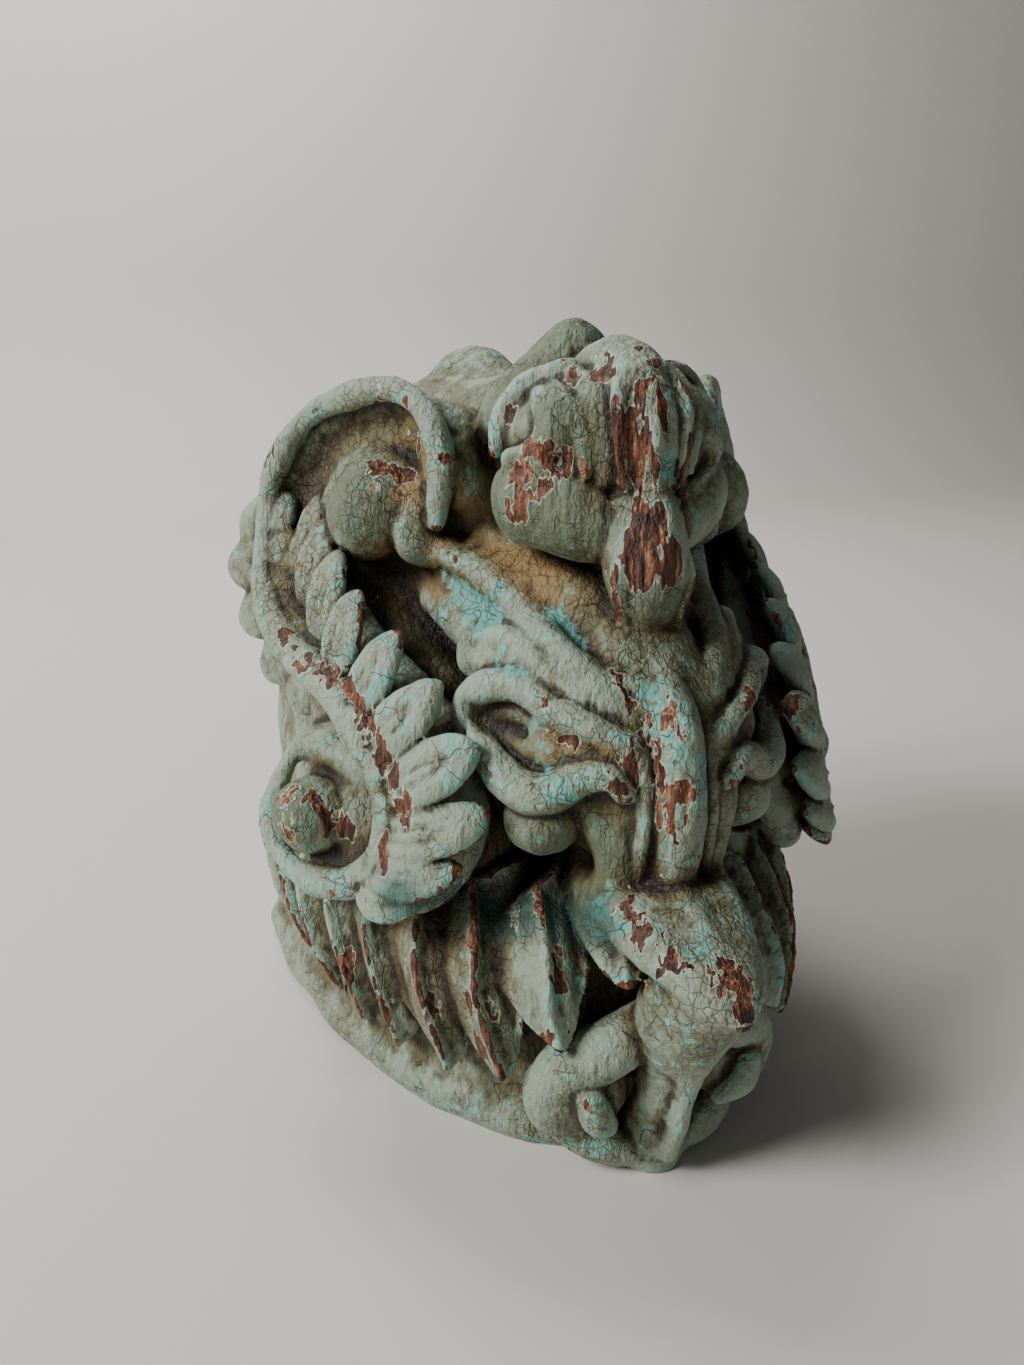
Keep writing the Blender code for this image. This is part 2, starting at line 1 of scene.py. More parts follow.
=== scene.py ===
"""The carved wooden corbel as it looks today: one block of softwood, carved deeply, painted in
verdigris and cream, and worn back to red-brown wood on its edges.

The block is cut on a fine grid of distances to its surface: members add wood, gouges take it
away, creases and ridges draw the carving. Everything is laid out in the carver's modules on the
left half, with x below 0, and the right half is its mirror; damage is put on afterwards.
"""
import bpy
import numpy as np
from math import cos, pi, radians, sin
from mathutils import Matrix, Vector


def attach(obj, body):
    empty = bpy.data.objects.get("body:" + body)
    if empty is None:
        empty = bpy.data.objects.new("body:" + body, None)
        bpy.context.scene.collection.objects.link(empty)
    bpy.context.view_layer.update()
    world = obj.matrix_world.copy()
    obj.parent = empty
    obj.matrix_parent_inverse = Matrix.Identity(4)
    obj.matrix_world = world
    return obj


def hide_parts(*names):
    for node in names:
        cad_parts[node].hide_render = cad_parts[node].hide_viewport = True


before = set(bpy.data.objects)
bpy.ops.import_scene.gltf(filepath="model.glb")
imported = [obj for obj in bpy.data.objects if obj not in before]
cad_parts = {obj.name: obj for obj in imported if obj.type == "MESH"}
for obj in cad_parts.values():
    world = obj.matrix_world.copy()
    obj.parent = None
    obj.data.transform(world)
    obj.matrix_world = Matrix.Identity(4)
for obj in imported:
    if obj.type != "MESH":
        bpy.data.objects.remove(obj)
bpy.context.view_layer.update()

MODULE = 0.240          # metres in one of the carver's modules
FOOT_TO_MOUNT = 0.108   # metres from the foot to the fixing point on the wall face
GRAIN = 0.0011 / MODULE  # step of the carving grid
DEEP = 0.25             # distance that stands for far outside the wood
SPAN = 5                # steps of a smooth curve between two of its given points
FACETS = 190000         # triangles in the finished carving
FOOT_HALF_WIDTH = 0.40  # modules across half the foot's plan, at the wall
FOOT_DEPTH = 0.77       # modules from the wall to the front of the foot
HAND = ((0.090, 0.0050, 3), (0.034, 0.0018, 5), (0.014, 0.0012, 7))  # unevenness: step, height, seed
PAINT = 0.0032          # modules that the old paint stands over bare wood
RAGGED = 0.004          # modules by which a chip's edge wanders
BEVEL = 0.005           # modules over which a chip's edge runs out
RELIEF = 0.0005         # metres of relief that one unit of the paint's bump stands for

# The scroll's drawing board: it faces out and a little up, with its origin in the upper eye
FLANK_EYE = Vector((-0.262, -0.41, 0.85))
FLANK_ACROSS = Vector((0.58, -0.815, 0)).normalized()
FLANK_OUT = Vector((-0.815, -0.58, 0.36)).normalized()
FLANK_UP = FLANK_OUT.cross(FLANK_ACROSS)

# Grid of the left half: its sample planes lie half a step to each side of the middle plane
across_x = (np.arange(-int(0.470 / GRAIN), 0) + 0.5).astype(np.float32) * np.float32(GRAIN)
along_y = np.arange(-0.980, 0.016, GRAIN).astype(np.float32)
up_z = np.arange(-0.016, 1.085, GRAIN).astype(np.float32)
AXES = (across_x, along_y, up_z)
wood = np.full([len(axis) for axis in AXES], DEEP, np.float32)


def flank(across, up, out=0.0):
    """A point on the scroll's drawing board."""
    return FLANK_EYE + FLANK_ACROSS * across + FLANK_UP * up + FLANK_OUT * out


def smooth_path(points):
    """Points along a smooth curve through the given ones."""
    ends = [points[0] * 2 - points[1]] + list(points) + [points[-1] * 2 - points[-2]]
    path = []
    for a, b, c, d in zip(ends, ends[1:], ends[2:], ends[3:]):
        for k in range(SPAN):
            t = k / SPAN
            path.append(((b * 2) + (c - a) * t + (a * 2 - b * 5 + c * 4 - d) * t * t
                         + (b * 3 - a - c * 3 + d) * t * t * t) / 2)
    return path + [points[-1]]


def window(low, high):
    """The part of the grid that spans a box, as slices, or None where the box misses the grid."""
    cuts = []
    for axis, a, b in zip(AXES, low, high):
        first, last = np.searchsorted(axis, (a, b))
        if first >= last:
            return None
        cuts.append(slice(int(first), int(last)))
    return tuple(cuts)


def sides(cuts):
    """The coordinates over a window, ready to be combined into a block."""
    return (across_x[cuts[0]][:, None, None], along_y[cuts[1]][None, :, None], up_z[cuts[2]][None, None, :])


def run(points, widths, margin, flat=1.0, facing=None):
    """Distance to a round bar along a smooth path, and the window it lies in. With flat it is
    squeezed, or stretched, along the direction facing. A bar near the middle meets its twin."""
    path = smooth_path([Vector((*p, w)) for p, w in zip(points, widths)])
    stretch = max(1.0, flat) if facing is not None else 1.0
    if max(p.x + p.w / 2 for p in path) + margin > 0:
        twins = [[Vector((-p.x, p.y, p.z, p.w)) for p in path]]
    else:
        twins = []
    reach = max(p.w for p in path) / 2 * stretch + margin
    low = [min(p[k] for p in path) - reach for k in range(3)]
    high = [max(p[k] for p in path) + reach for k in range(3)]
    if twins:
        high[0] = 0.0
    cuts = window(low, high)
    if cuts is None:
        return None, None
    near = np.full([c.stop - c.start for c in cuts], DEEP, np.float32)
    for twin, line in enumerate([path] + twins):
        n = facing
        if n is not None and twin:
            n = Vector((-n.x, n.y, n.z))
        for a, b in zip(line, line[1:]):
            r = max(a.w, b.w) / 2 * stretch + margin
            spot = window([min(a[k], b[k]) - r for k in range(3)], [max(a[k], b[k]) + r for k in range(3)])
            if spot is None:
                continue
            x, y, z = sides(spot)
            ax, ay, az = x - a.x, y - a.y, z - a.z
            bx, by, bz = b.x - a.x, b.y - a.y, b.z - a.z
            length = max(bx * bx + by * by + bz * bz, 1e-12)
            t = np.clip((ax * bx + ay * by + az * bz) / length, 0, 1)
            dx, dy, dz = ax - t * bx, ay - t * by, az - t * bz
            radius = (a.w + (b.w - a.w) * t) / 2
            square = dx * dx + dy * dy + dz * dz
            if n is None:
                d = np.sqrt(square) - radius
            else:
                s = dx * n.x + dy * n.y + dz * n.z
                skew = s * s
                q = np.sqrt(np.maximum(square - skew + skew / flat ** 2, 1e-12))
                slope = np.sqrt(np.maximum(square - skew + skew / flat ** 4, 1e-12)) / q
                d = (q - radius) / np.maximum(slope, 0.2)
            part = tuple(slice(c.start - w.start, c.stop - w.start) for c, w in zip(spot, cuts))
            inner = tuple(slice(max(p.start, 0), p.stop) for p in part)
            lost = tuple(i.start - p.start for i, p in zip(inner, part))
            d = d[lost[0]:, lost[1]:, lost[2]:]
            view = near[inner]
            d = d[:view.shape[0], :view.shape[1], :view.shape[2]]
            np.minimum(view, d, out=view)
    return cuts, near


def add(cuts, shape, blend):
    """Joins a form to the wood with a fillet of about the blend's size."""
    old = wood[cuts]
    h = np.clip(0.5 + 0.5 * (old - shape) / blend, 0, 1)
    wood[cuts] = old + (shape - old) * h - blend * h * (1 - h)


def take(cuts, shape, blend):
    """Cuts a form out of the wood, its edge eased by about the blend's size."""
    old = wood[cuts]
    h = np.clip(0.5 - 0.5 * (old + shape) / blend, 0, 1)
    wood[cuts] = old + (-shape - old) * h + blend * h * (1 - h)


def member(points, widths, blend=0.012, flat=1.0, facing=None):
    """A rounded bar of wood along a smooth path, its width given at each point."""
    cuts, shape = run(points, widths, blend + 2 * GRAIN, flat, facing)
    if cuts:
        add(cuts, shape, blend)


def gouge(points, widths, blend=0.008, flat=1.0, facing=None):
    """A rounded hollow cut along a smooth path."""
    cuts, shape = run(points, widths, blend + 2 * GRAIN, flat, facing)
    if cuts:
        take(cuts, shape, blend)


def stroke(points, widths, depth, facing, crisp=True, reach=2.5):
    """A line drawn in the surface, seen along facing: a valley where depth is above 0, a raised
    line where it is below. A crisp one has a sharp middle, the other kind a round one."""
    cuts, shape = run(points, widths, 0.001, reach, facing)
    if cuts:
        share = np.clip(-2 * shape / max(widths), 0, 1)
        wood[cuts] += depth * (share ** 1.5 if crisp else share * share * (3 - 2 * share))


def boss(centre, widths, blend=0.012, axes=None):
    """A rounded boss of the three given widths, along the given axes. One that crosses the middle
    plane meets its twin there."""
    axes = axes or (Vector((1, 0, 0)), Vector((0, 1, 0)), Vector((0, 0, 1)))
    reach = max(widths) / 2 + blend + 2 * GRAIN
    cuts = window([c - reach for c in centre], [c + reach for c in centre])
    if cuts is None:
        return
    x, y, z = sides(cuts)
    places = [(centre, axes)]
    if centre[0] + max(widths) / 2 > 0 and centre[0] != 0:
        places.append(((-centre[0], centre[1], centre[2]), [Vector((-a[0], a[1], a[2])) for a in axes]))
    shape = np.inf
    for middle, turned in places:
        inner = outer = 0
        for axis, width in zip(turned, widths):
            s = (x - middle[0]) * axis[0] + (y - middle[1]) * axis[1] + (z - middle[2]) * axis[2]
            inner = inner + (s / (width / 2)) ** 2
            outer = outer + (s / (width / 2) ** 2) ** 2
        q = np.sqrt(inner)
        shape = np.minimum(shape, (q - 1) * q / np.sqrt(np.maximum(outer, 1e-9)))
    add(cuts, shape.astype(np.float32), blend)


def trunk():
    """The plain block behind the carving, from the foot to the nape."""
    levels = ((0.3, 0.36, 0.26), (0.42, 0.365, 0.27), (0.55, 0.345, 0.27), (0.66, 0.335, 0.25),
              (0.76, 0.315, 0.22), (0.86, 0.285, 0.19), (0.94, 0.225, 0.16), (0.985, 0.115, 0.12))
    inner = ((0.21, 0.44), (0.19, 0.42), (0.17, 0.45), (0.16, 0.43), (0.14, 0.39), (0.11, 0.34),
             (0.09, 0.29), (0.05, 0.24))
    nose = (0.6, 0.6, 0.68, 0.66, 0.57, 0.48, 0.44, 0.38)
    cuts = window((-0.47, -0.8, 0.27), (0.0, 0.03, 1.02))
    x, y, z = sides(cuts)
    zs = [level[0] for level in levels]
    side_x = np.interp(z, zs, [level[1] for level in levels])
    side_y = np.interp(z, zs, [level[2] for level in levels])
    inner_x = np.interp(z, zs, [i[0] for i in inner])
    inner_y = np.interp(z, zs, [i[1] for i in inner])
    nose_y = np.interp(z, zs, nose)
    shape = -x - side_x
    for ax, ay, bx, by in ((side_x, side_y, inner_x, inner_y), (inner_x, inner_y, 0.03, nose_y)):
        ex, ey = bx - ax, by - ay
        length = np.sqrt(ex * ex + ey * ey)
        shape = np.maximum(shape, ((-x - ax) * ey - (-y - ay) * ex) / length)
    shape = np.maximum(shape, np.maximum(z - 0.985, 0.29 - z))
    add(cuts, shape.astype(np.float32), 0.02)


def foot():
    """The bowl over the foot, drawn round a half-oval plan, with the plain rim at its bottom."""
    cuts = window((-0.47, -0.98, -0.02), (0.0, 0.03, 0.47))
    x, y, z = sides(cuts)
    share = np.where(y < 0, np.sqrt((x / FOOT_HALF_WIDTH) ** 2 + (y / FOOT_DEPTH) ** 2), -x / FOOT_HALF_WIDTH)
    turn = np.arctan2(-x / FOOT_HALF_WIDTH, np.maximum(-y / FOOT_DEPTH, 0.0001))
    span = np.sqrt((FOOT_HALF_WIDTH * np.sin(turn)) ** 2 + (FOOT_DEPTH * np.cos(turn)) ** 2)
    heights = (-0.04, 0.02, 0.07, 0.12, 0.2, 0.28, 0.35, 0.4)
    shares = (0.95, 0.96, 0.955, 0.94, 0.93, 0.94, 0.86, 0.72)
    bowl = np.maximum((share - np.interp(z, heights, shares)) * np.minimum(span, 0.55), z - 0.4)
    add(cuts, bowl.astype(np.float32), 0.02)
    rim = [(-0.372 * sin(radians(a)), -0.712 * cos(radians(a)), 0.028) for a in range(-8, 97, 8)]
    member(rim, [0.056] * len(rim), 0.02)


# Lobes of the great leaf on the left: angle round the foot in degrees, half-width in degrees,
# height of the tip, and how far it swells from a ring 0.20 inside the rim
LOBES = ((10, 5.5, 0.305, 0.288), (21.5, 6, 0.22, 0.282), (32, 4.9, 0.155, 0.276), (41, 4.6, 0.12, 0.268),
         (50, 4.4, 0.1, 0.258), (58, 4.2, 0.085, 0.249), (66, 4.2, 0.075, 0.24), (74, 4.2, 0.07, 0.23),
         (82, 4.2, 0.065, 0.22), (90, 4.2, 0.06, 0.212))


def great_leaf():
    """The great leaf's side lobes: flutes that run from the throat over the shoulder and down."""
    cuts = window((-0.47, -0.98, 0.02), (0.0, 0.03, 0.47))
    x, y, z = sides(cuts)
    share = np.sqrt((x / FOOT_HALF_WIDTH) ** 2 + (y / FOOT_DEPTH) ** 2)
    turn = np.arctan2(-x / FOOT_HALF_WIDTH, np.maximum(-y / FOOT_DEPTH, 0.0001))
    span = np.sqrt((FOOT_HALF_WIDTH * np.sin(turn)) ** 2 + (FOOT_DEPTH * np.cos(turn)) ** 2)
    out = (share - 1) * span + 0.2
    rise = z - 0.2
    bend = np.arctan2(rise, out)
    far = np.sqrt(out * out + rise * rise)
    lean = 35 * np.clip(0.27 - z, 0, 0.13)
    spread = np.degrees(turn) * (1 + 1.2 * np.clip((0.97 - share) / 0.27, 0, 1.5)) + lean
    leaf = np.full(far.shape, DEEP, np.float32)
    for angle, half, tip, swell in LOBES:
        aside = np.abs(spread - angle) / half
        keel = np.clip((angle - 12) / 14, 0, 1)
        inner = np.minimum(np.sqrt(aside ** 2 + 0.02) - 0.14, 1)
        fall = (1 - keel) * aside ** 2 + keel * (1.5 * inner * (2 - inner) + np.maximum(aside - 1.14, 0))
        profile = np.interp(bend, (-1.0, -0.55, -0.1, 0.3, 0.8, 1.2, 1.7),
                            (0.8, 0.9, 0.97, 1.0, 0.93, 0.8, 0.7))
        lobe = far - (swell * profile - 0.027 * np.minimum(fall, 4) + 0.0022 * np.cos(10 * aside))
        edge = tip + 0.045 * np.minimum(aside ** 2, 4) - z
        lobe = np.maximum(lobe, edge)
        h = np.clip(0.5 + 0.5 * (leaf - lobe) / 0.005, 0, 1)
        leaf = leaf + (lobe - leaf) * h - 0.005 * h * (1 - h)
    leaf = np.maximum(leaf, 0.04 - out)
    add(cuts, leaf.astype(np.float32), 0.01)


def scroll():
    """One flank's scroll: an S of two volutes with its rail, channel and the pods in its eyes."""
    rail = ((0.088, -0.03), (0.094, 0.05), (0.055, 0.113), (-0.027, 0.13), (-0.145, 0.095),
            (-0.2, 0.025), (-0.215, -0.06), (-0.192, -0.145), (-0.137, -0.2), (-0.07, -0.236),
            (0.015, -0.268), (0.09, -0.322), (0.136, -0.385), (0.136, -0.455), (0.075, -0.508),
            (-0.01, -0.52), (-0.074, -0.49), (-0.088, -0.425), (-0.07, -0.36), (0.0, -0.335))
    rise = (-0.03, -0.005, 0.01, 0.01, 0.0, -0.01, -0.02, -0.02, -0.005, 0.01, 0.02,
            0.02, 0.01, 0.0, -0.01, -0.02, -0.02, -0.02, -0.025, -0.03)
    width = (0.026, 0.034, 0.036, 0.034, 0.03, 0.03, 0.03, 0.036, 0.044, 0.048, 0.052,
             0.054, 0.054, 0.05, 0.04, 0.034, 0.03, 0.03, 0.028, 0.024)
    turn = (FLANK_ACROSS, FLANK_UP, FLANK_OUT)
    # the drums of the two volutes, and the wall under the rail
    boss(flank(-0.055, 0.01, -0.13), (0.3, 0.25, 0.24), 0.02, turn)
    boss(flank(0.02, -0.43, -0.1), (0.23, 0.19, 0.19), 0.02, turn)
    for depth, girth in ((0.15, 0.13), (0.1, 0.105), (0.055, 0.08), (0.022, 0.05)):
        under = [flank(a + 0.05 * min(1, max(0, -u - 0.25) * 6) - (a - 0.05) * (0.1 + depth * 0.6),
                       (u + 0.2) * (0.95 - depth * 0.4) - 0.2, r - depth)
                 for (a, u), r in zip(rail, rise)]
        member(under[1:], [girth] * (len(rail) - 1), 0.015)
    cheek = ((-0.05, 0.0), (-0.09, -0.1), (-0.04, -0.2), (0.05, -0.3), (0.09, -0.42))
    member([flank(a, u, -0.15) for a, u in cheek], (0.2, 0.2, 0.2, 0.19, 0.17), 0.02)
    # the hollow channel that runs round each eye
    channel = ((0.06, 0.02), (0.04, 0.068), (-0.03, 0.088), (-0.11, 0.06), (-0.155, 0.0), (-0.165, -0.07),
               (-0.135, -0.13))
    gouge([flank(a, u, 0.008) for a, u in channel], (0.03, 0.06, 0.075, 0.09, 0.1, 0.09, 0.05), 0.014)
    lower_channel = ((0.085, -0.385), (0.095, -0.435), (0.055, -0.478), (-0.015, -0.488), (-0.055, -0.45))
    gouge([flank(a, u, 0.008) for a, u in lower_channel], (0.04, 0.065, 0.065, 0.05, 0.03), 0.012)
    member([flank(a, u, r) for (a, u), r in zip(rail, rise)], width, 0.006)
    slant = FLANK_ACROSS * cos(radians(-35)) + FLANK_UP * sin(radians(-35))
    boss(flank(-0.02, -0.018, -0.035), (0.122, 0.15, 0.13), 0.006, (slant, FLANK_OUT.cross(slant), FLANK_OUT))
    boss(flank(0.045, -0.02, -0.05), (0.07, 0.13, 0.09), 0.01, turn)
    boss(flank(-0.012, -0.436, -0.025), (0.112, 0.108, 0.13), 0.006, turn)
    # the shelf above the lower pod
    member([flank(a, u, -0.04) for a, u in ((-0.07, -0.355), (-0.01, -0.345), (0.05, -0.36))],
           (0.05, 0.075, 0.06), 0.012)


def leaflets():
    """The fronds beside the scroll: a row of leaflets to the front, and a broader row behind."""
    bed = [flank(a, u, -0.045) for a, u in (
        (-0.105, -0.12), (-0.045, -0.175), (0.02, -0.225), (0.085, -0.27),
        (0.15, -0.325), (0.185, -0.395), (0.165, -0.465), (0.11, -0.5))]
    member(bed, (0.05, 0.07, 0.08, 0.09, 0.1, 0.11, 0.1, 0.06), 0.01, 0.7, FLANK_OUT)
    front = (((-0.15, -0.13), (-0.135, -0.005), -0.045, 0.8), ((-0.105, -0.165), (-0.1, -0.045), -0.03, 0.85),
             ((-0.055, -0.205), (-0.05, -0.09), -0.012, 0.85), ((0.0, -0.252), (0.01, -0.138), 0.004, 0.9),
             ((0.052, -0.285), (0.095, -0.182), 0.012, 0.95), ((0.098, -0.326), (0.172, -0.236), 0.014, 1.0),
             ((0.13, -0.372), (0.248, -0.288), 0.012, 1.05), ((0.14, -0.425), (0.27, -0.372), 0.005, 1.0),
             ((0.135, -0.47), (0.245, -0.442), 0.0, 0.9), ((0.105, -0.5), (0.205, -0.486), -0.01, 0.8))
    for root, tip, height, size in reversed(front):
        root, tip = Vector((*root, 0)), Vector((*tip, 0))
        along = (tip - root).normalized()
        aside = Vector((-along.y, along.x, 0))
        steps = ((0.0, 0.6), (0.3, 1.0), (0.62, 0.98), (0.85, 0.66), (1.0, 0.22))
        spine = [root.lerp(tip, t) - aside * 0.012 * sin(pi * t) for t, _ in steps]
        path = [flank(p.x, p.y, height + 0.022 * sin(pi * t)) for p, (t, _) in zip(spine, steps)]
        member(path, [0.07 * size * w for _, w in steps], 0.003, 0.45, FLANK_OUT)
        # a raised midrib between two shallow hollows
        hollow = [flank(p.x, p.y, height + 0.022 * sin(pi * t)) for p, (t, _) in zip(spine, steps)][:4]
        stroke(hollow, [0.034 * size, 0.044 * size, 0.038 * size, 0.018], 0.006, FLANK_OUT, False, 3.0)
        stroke(hollow, [0.014, 0.018, 0.016, 0.01], -0.006, FLANK_OUT, True, 5.0)
    behind = (((-0.365, -0.235, 0.8), (-0.398, -0.165, 0.77)), ((-0.365, -0.26, 0.75), (-0.42, -0.165, 0.715)),
              ((-0.36, -0.285, 0.69), (-0.414, -0.2, 0.64)),
              ((-0.345, -0.325, 0.635), (-0.392, -0.255, 0.578)),
              ((-0.325, -0.375, 0.6), (-0.366, -0.325, 0.545)),
              ((-0.305, -0.42, 0.585), (-0.342, -0.385, 0.53)))
    for root, tip in behind:
        path = [Vector(root).lerp(Vector(tip), t) for t in (0.0, 0.4, 0.75, 1.0)]
        member(path, [0.069 * w for w in (1.1, 1.35, 1.1, 0.4)], 0.006, 0.6, FLANK_OUT)


def ribbons():
    """The raised leaf and the ribbons that run from the scroll to the front band."""
    side = Vector((-1, -0.75, 0.25)).normalized()
    member(((-0.13, -0.55, 0.52), (-0.09, -0.66, 0.49), (-0.05, -0.72, 0.47)), (0.13, 0.1, 0.09))
    # the wall under the head, and the leaf that lies on it: a sharp upper edge over a hollow
    member(((-0.185, -0.33, 0.755), (-0.135, -0.45, 0.73), (-0.085, -0.56, 0.705), (-0.035, -0.64, 0.68)),
           (0.14, 0.16, 0.16, 0.12), 0.03, 0.6, side)
    member(((-0.2, -0.4, 0.772), (-0.182, -0.47, 0.768), (-0.155, -0.535, 0.752), (-0.128, -0.59, 0.722),
            (-0.108, -0.63, 0.7)), (0.02, 0.026, 0.026, 0.02, 0.012), 0.03)
    member(((-0.19, -0.43, 0.7), (-0.165, -0.5, 0.682), (-0.135, -0.57, 0.664), (-0.1, -0.65, 0.64)),
           (0.04, 0.06, 0.06, 0.04), 0.016)
    # two narrow ribs over the arch, with a valley between them
    member(((-0.165, -0.56, 0.655), (-0.135, -0.615, 0.655), (-0.1, -0.67, 0.64), (-0.06, -0.715, 0.625)),
           (0.06, 0.08, 0.08, 0.07), 0.015)
    member(((-0.172, -0.56, 0.672), (-0.155, -0.6, 0.684), (-0.138, -0.64, 0.676), (-0.12, -0.676, 0.654),
            (-0.095, -0.718, 0.635)), (0.026, 0.034, 0.034, 0.03, 0.024), 0.006)
    member(((-0.14, -0.58, 0.712), (-0.118, -0.628, 0.7), (-0.098, -0.676, 0.678), (-0.07, -0.715, 0.65)),
           (0.02, 0.03, 0.034, 0.034), 0.012)
    # the arch: the upper ribbon over a dark hollow, the lower ribbon curling over the ball
    member(((-0.14, -0.6, 0.585), (-0.1, -0.67, 0.575), (-0.055, -0.725, 0.565)), (0.11, 0.12, 0.11), 0.015)
    member(((-0.196, -0.596, 0.555), (-0.203, -0.612, 0.598), (-0.19, -0.63, 0.632), (-0.16, -0.66, 0.64),
            (-0.128, -0.706, 0.622), (-0.095, -0.745, 0.606), (-0.06, -0.765, 0.592)),
           (0.034, 0.036, 0.038, 0.038, 0.036, 0.034, 0.03), 0.006)
    gouge(((-0.215, -0.655, 0.604), (-0.186, -0.69, 0.6), (-0.16, -0.724, 0.588), (-0.13, -0.757, 0.584),
           (-0.095, -0.785, 0.582)), (0.036, 0.048, 0.05, 0.044, 0.028), 0.012)
    member(((-0.196, -0.64, 0.578), (-0.188, -0.668, 0.552), (-0.166, -0.706, 0.528), (-0.14, -0.732, 0.53),
            (-0.112, -0.752, 0.552), (-0.085, -0.772, 0.558), (-0.068, -0.776, 0.54)),
           (0.03, 0.042, 0.05, 0.046, 0.04, 0.034, 0.03), 0.005)
    gouge(((-0.225, -0.64, 0.618), (-0.19, -0.65, 0.598), (-0.16, -0.68, 0.59)), (0.03, 0.036, 0.02), 0.006)
    boss((-0.128, -0.692, 0.48), (0.1, 0.1, 0.092), 0.005)
    # the sweep from the ball down into the band
    member(((-0.1, -0.72, 0.53), (-0.078, -0.738, 0.49), (-0.055, -0.742, 0.43), (-0.045, -0.74, 0.39)),
           (0.03, 0.05, 0.06, 0.06), 0.01)


def head():
    """The bud-shaped head: a folded shell over a smooth bulb on each side, a panel between them
    and a hanging tongue."""
    member(((0, 0.05, 0.965), (0, -0.06, 0.965), (0, -0.18, 0.935), (0, -0.3, 0.935), (0, -0.42, 0.955),
            (0, -0.5, 0.955)), (0.15, 0.14, 0.12, 0.12, 0.13, 0.12), 0.02)
    member(((0, -0.4, 0.9), (0, -0.5, 0.9), (0, -0.57, 0.88)), (0.22, 0.2, 0.15), 0.02)
    member(((0, -0.56, 0.8), (0, -0.62, 0.74), (0, -0.65, 0.7)), (0.09, 0.06, 0.05), 0.012)
    boss((0, -0.452, 1.026), (0.086, 0.082, 0.082), 0.014)
    member(((0, -0.455, 1.01), (-0.045, -0.462, 0.985), (-0.092, -0.472, 0.945)), (0.07, 0.08, 0.08), 0.03)
    boss((-0.052, -0.55, 0.925), (0.164, 0.15, 0.15), 0.01)
    # the shell's cup: a rim, a shallow hollow, and the folds that stand in it
    gouge(((-0.104, -0.634, 0.95), (-0.088, -0.65, 0.92), (-0.07, -0.662, 0.895)), (0.04, 0.05, 0.04), 0.012)
    member(((-0.04, -0.604, 1.004), (-0.078, -0.588, 1.0), (-0.114, -0.566, 0.98), (-0.136, -0.548, 0.945),
            (-0.14, -0.548, 0.905)), (0.016, 0.022, 0.026, 0.026, 0.02), 0.008)
    member(((-0.102, -0.59, 0.972), (-0.098, -0.612, 0.952), (-0.1, -0.624, 0.925), (-0.118, -0.612, 0.906),
            (-0.136, -0.586, 0.905)), (0.018, 0.034, 0.04, 0.034, 0.016), 0.006)
    member(((-0.08, -0.59, 0.96), (-0.074, -0.61, 0.935), (-0.068, -0.62, 0.9)), (0.05, 0.07, 0.06), 0.01)
    member(((-0.086, -0.598, 0.98), (-0.076, -0.626, 0.958), (-0.072, -0.645, 0.925),
            (-0.068, -0.655, 0.885)), (0.014, 0.024, 0.026, 0.018), 0.004)
    member(((-0.062, -0.606, 0.99), (-0.05, -0.632, 0.965), (-0.046, -0.646, 0.925), (-0.046, -0.65, 0.88)),
           (0.026, 0.042, 0.048, 0.04), 0.004)
    # the smooth bulb, its upper edge sloping down to the panel under a sharp ridge
    member(((-0.096, -0.582, 0.85), (-0.062, -0.616, 0.832), (-0.022, -0.64, 0.818)), (0.122, 0.112, 0.088),
           0.005)
    member(((-0.138, -0.58, 0.898), (-0.114, -0.614, 0.892), (-0.09, -0.642, 0.876), (-0.052, -0.664, 0.858)),
           (0.018, 0.024, 0.022, 0.016), 0.01)
    # the panel down the middle of the face: ridges frame two sunken strips
    member(((0, -0.53, 0.985), (0, -0.594, 0.993), (0, -0.64, 0.965), (0, -0.66, 0.92), (0, -0.66, 0.868)),
           (0.088, 0.098, 0.092, 0.086, 0.074), 0.006)
    member(((-0.026, -0.648, 1.0), (-0.041, -0.674, 0.968), (-0.043, -0.684, 0.915),
            (-0.036, -0.686, 0.868)), (0.012, 0.016, 0.016, 0.014), 0.006)
    member(((-0.026, -0.655, 1.0), (0, -0.664, 1.004)), (0.018, 0.018), 0.008)
    gouge(((-0.019, -0.7, 0.97), (-0.02, -0.712, 0.925), (-0.018, -0.71, 0.888)), (0.026, 0.034, 0.026),
          0.003)
    for height, reach in ((0.873, 0.036), (0.85, 0.042)):
        member(((-reach, -0.676, height + 0.003), (0, -0.698, height)), (0.016, 0.016), 0.006)
    member(((0, -0.65, 0.855), (0, -0.67, 0.832), (0, -0.677, 0.785), (0, -0.677, 0.735), (0, -0.66, 0.688)),
           (0.076, 0.096, 0.106, 0.084, 0.05), 0.006)
    member(((-0.03, -0.69, 0.83), (-0.046, -0.7, 0.78), (-0.038, -0.694, 0.725), (-0.022, -0.674, 0.69)),
           (0.01, 0.018, 0.018, 0.012), 0.006)


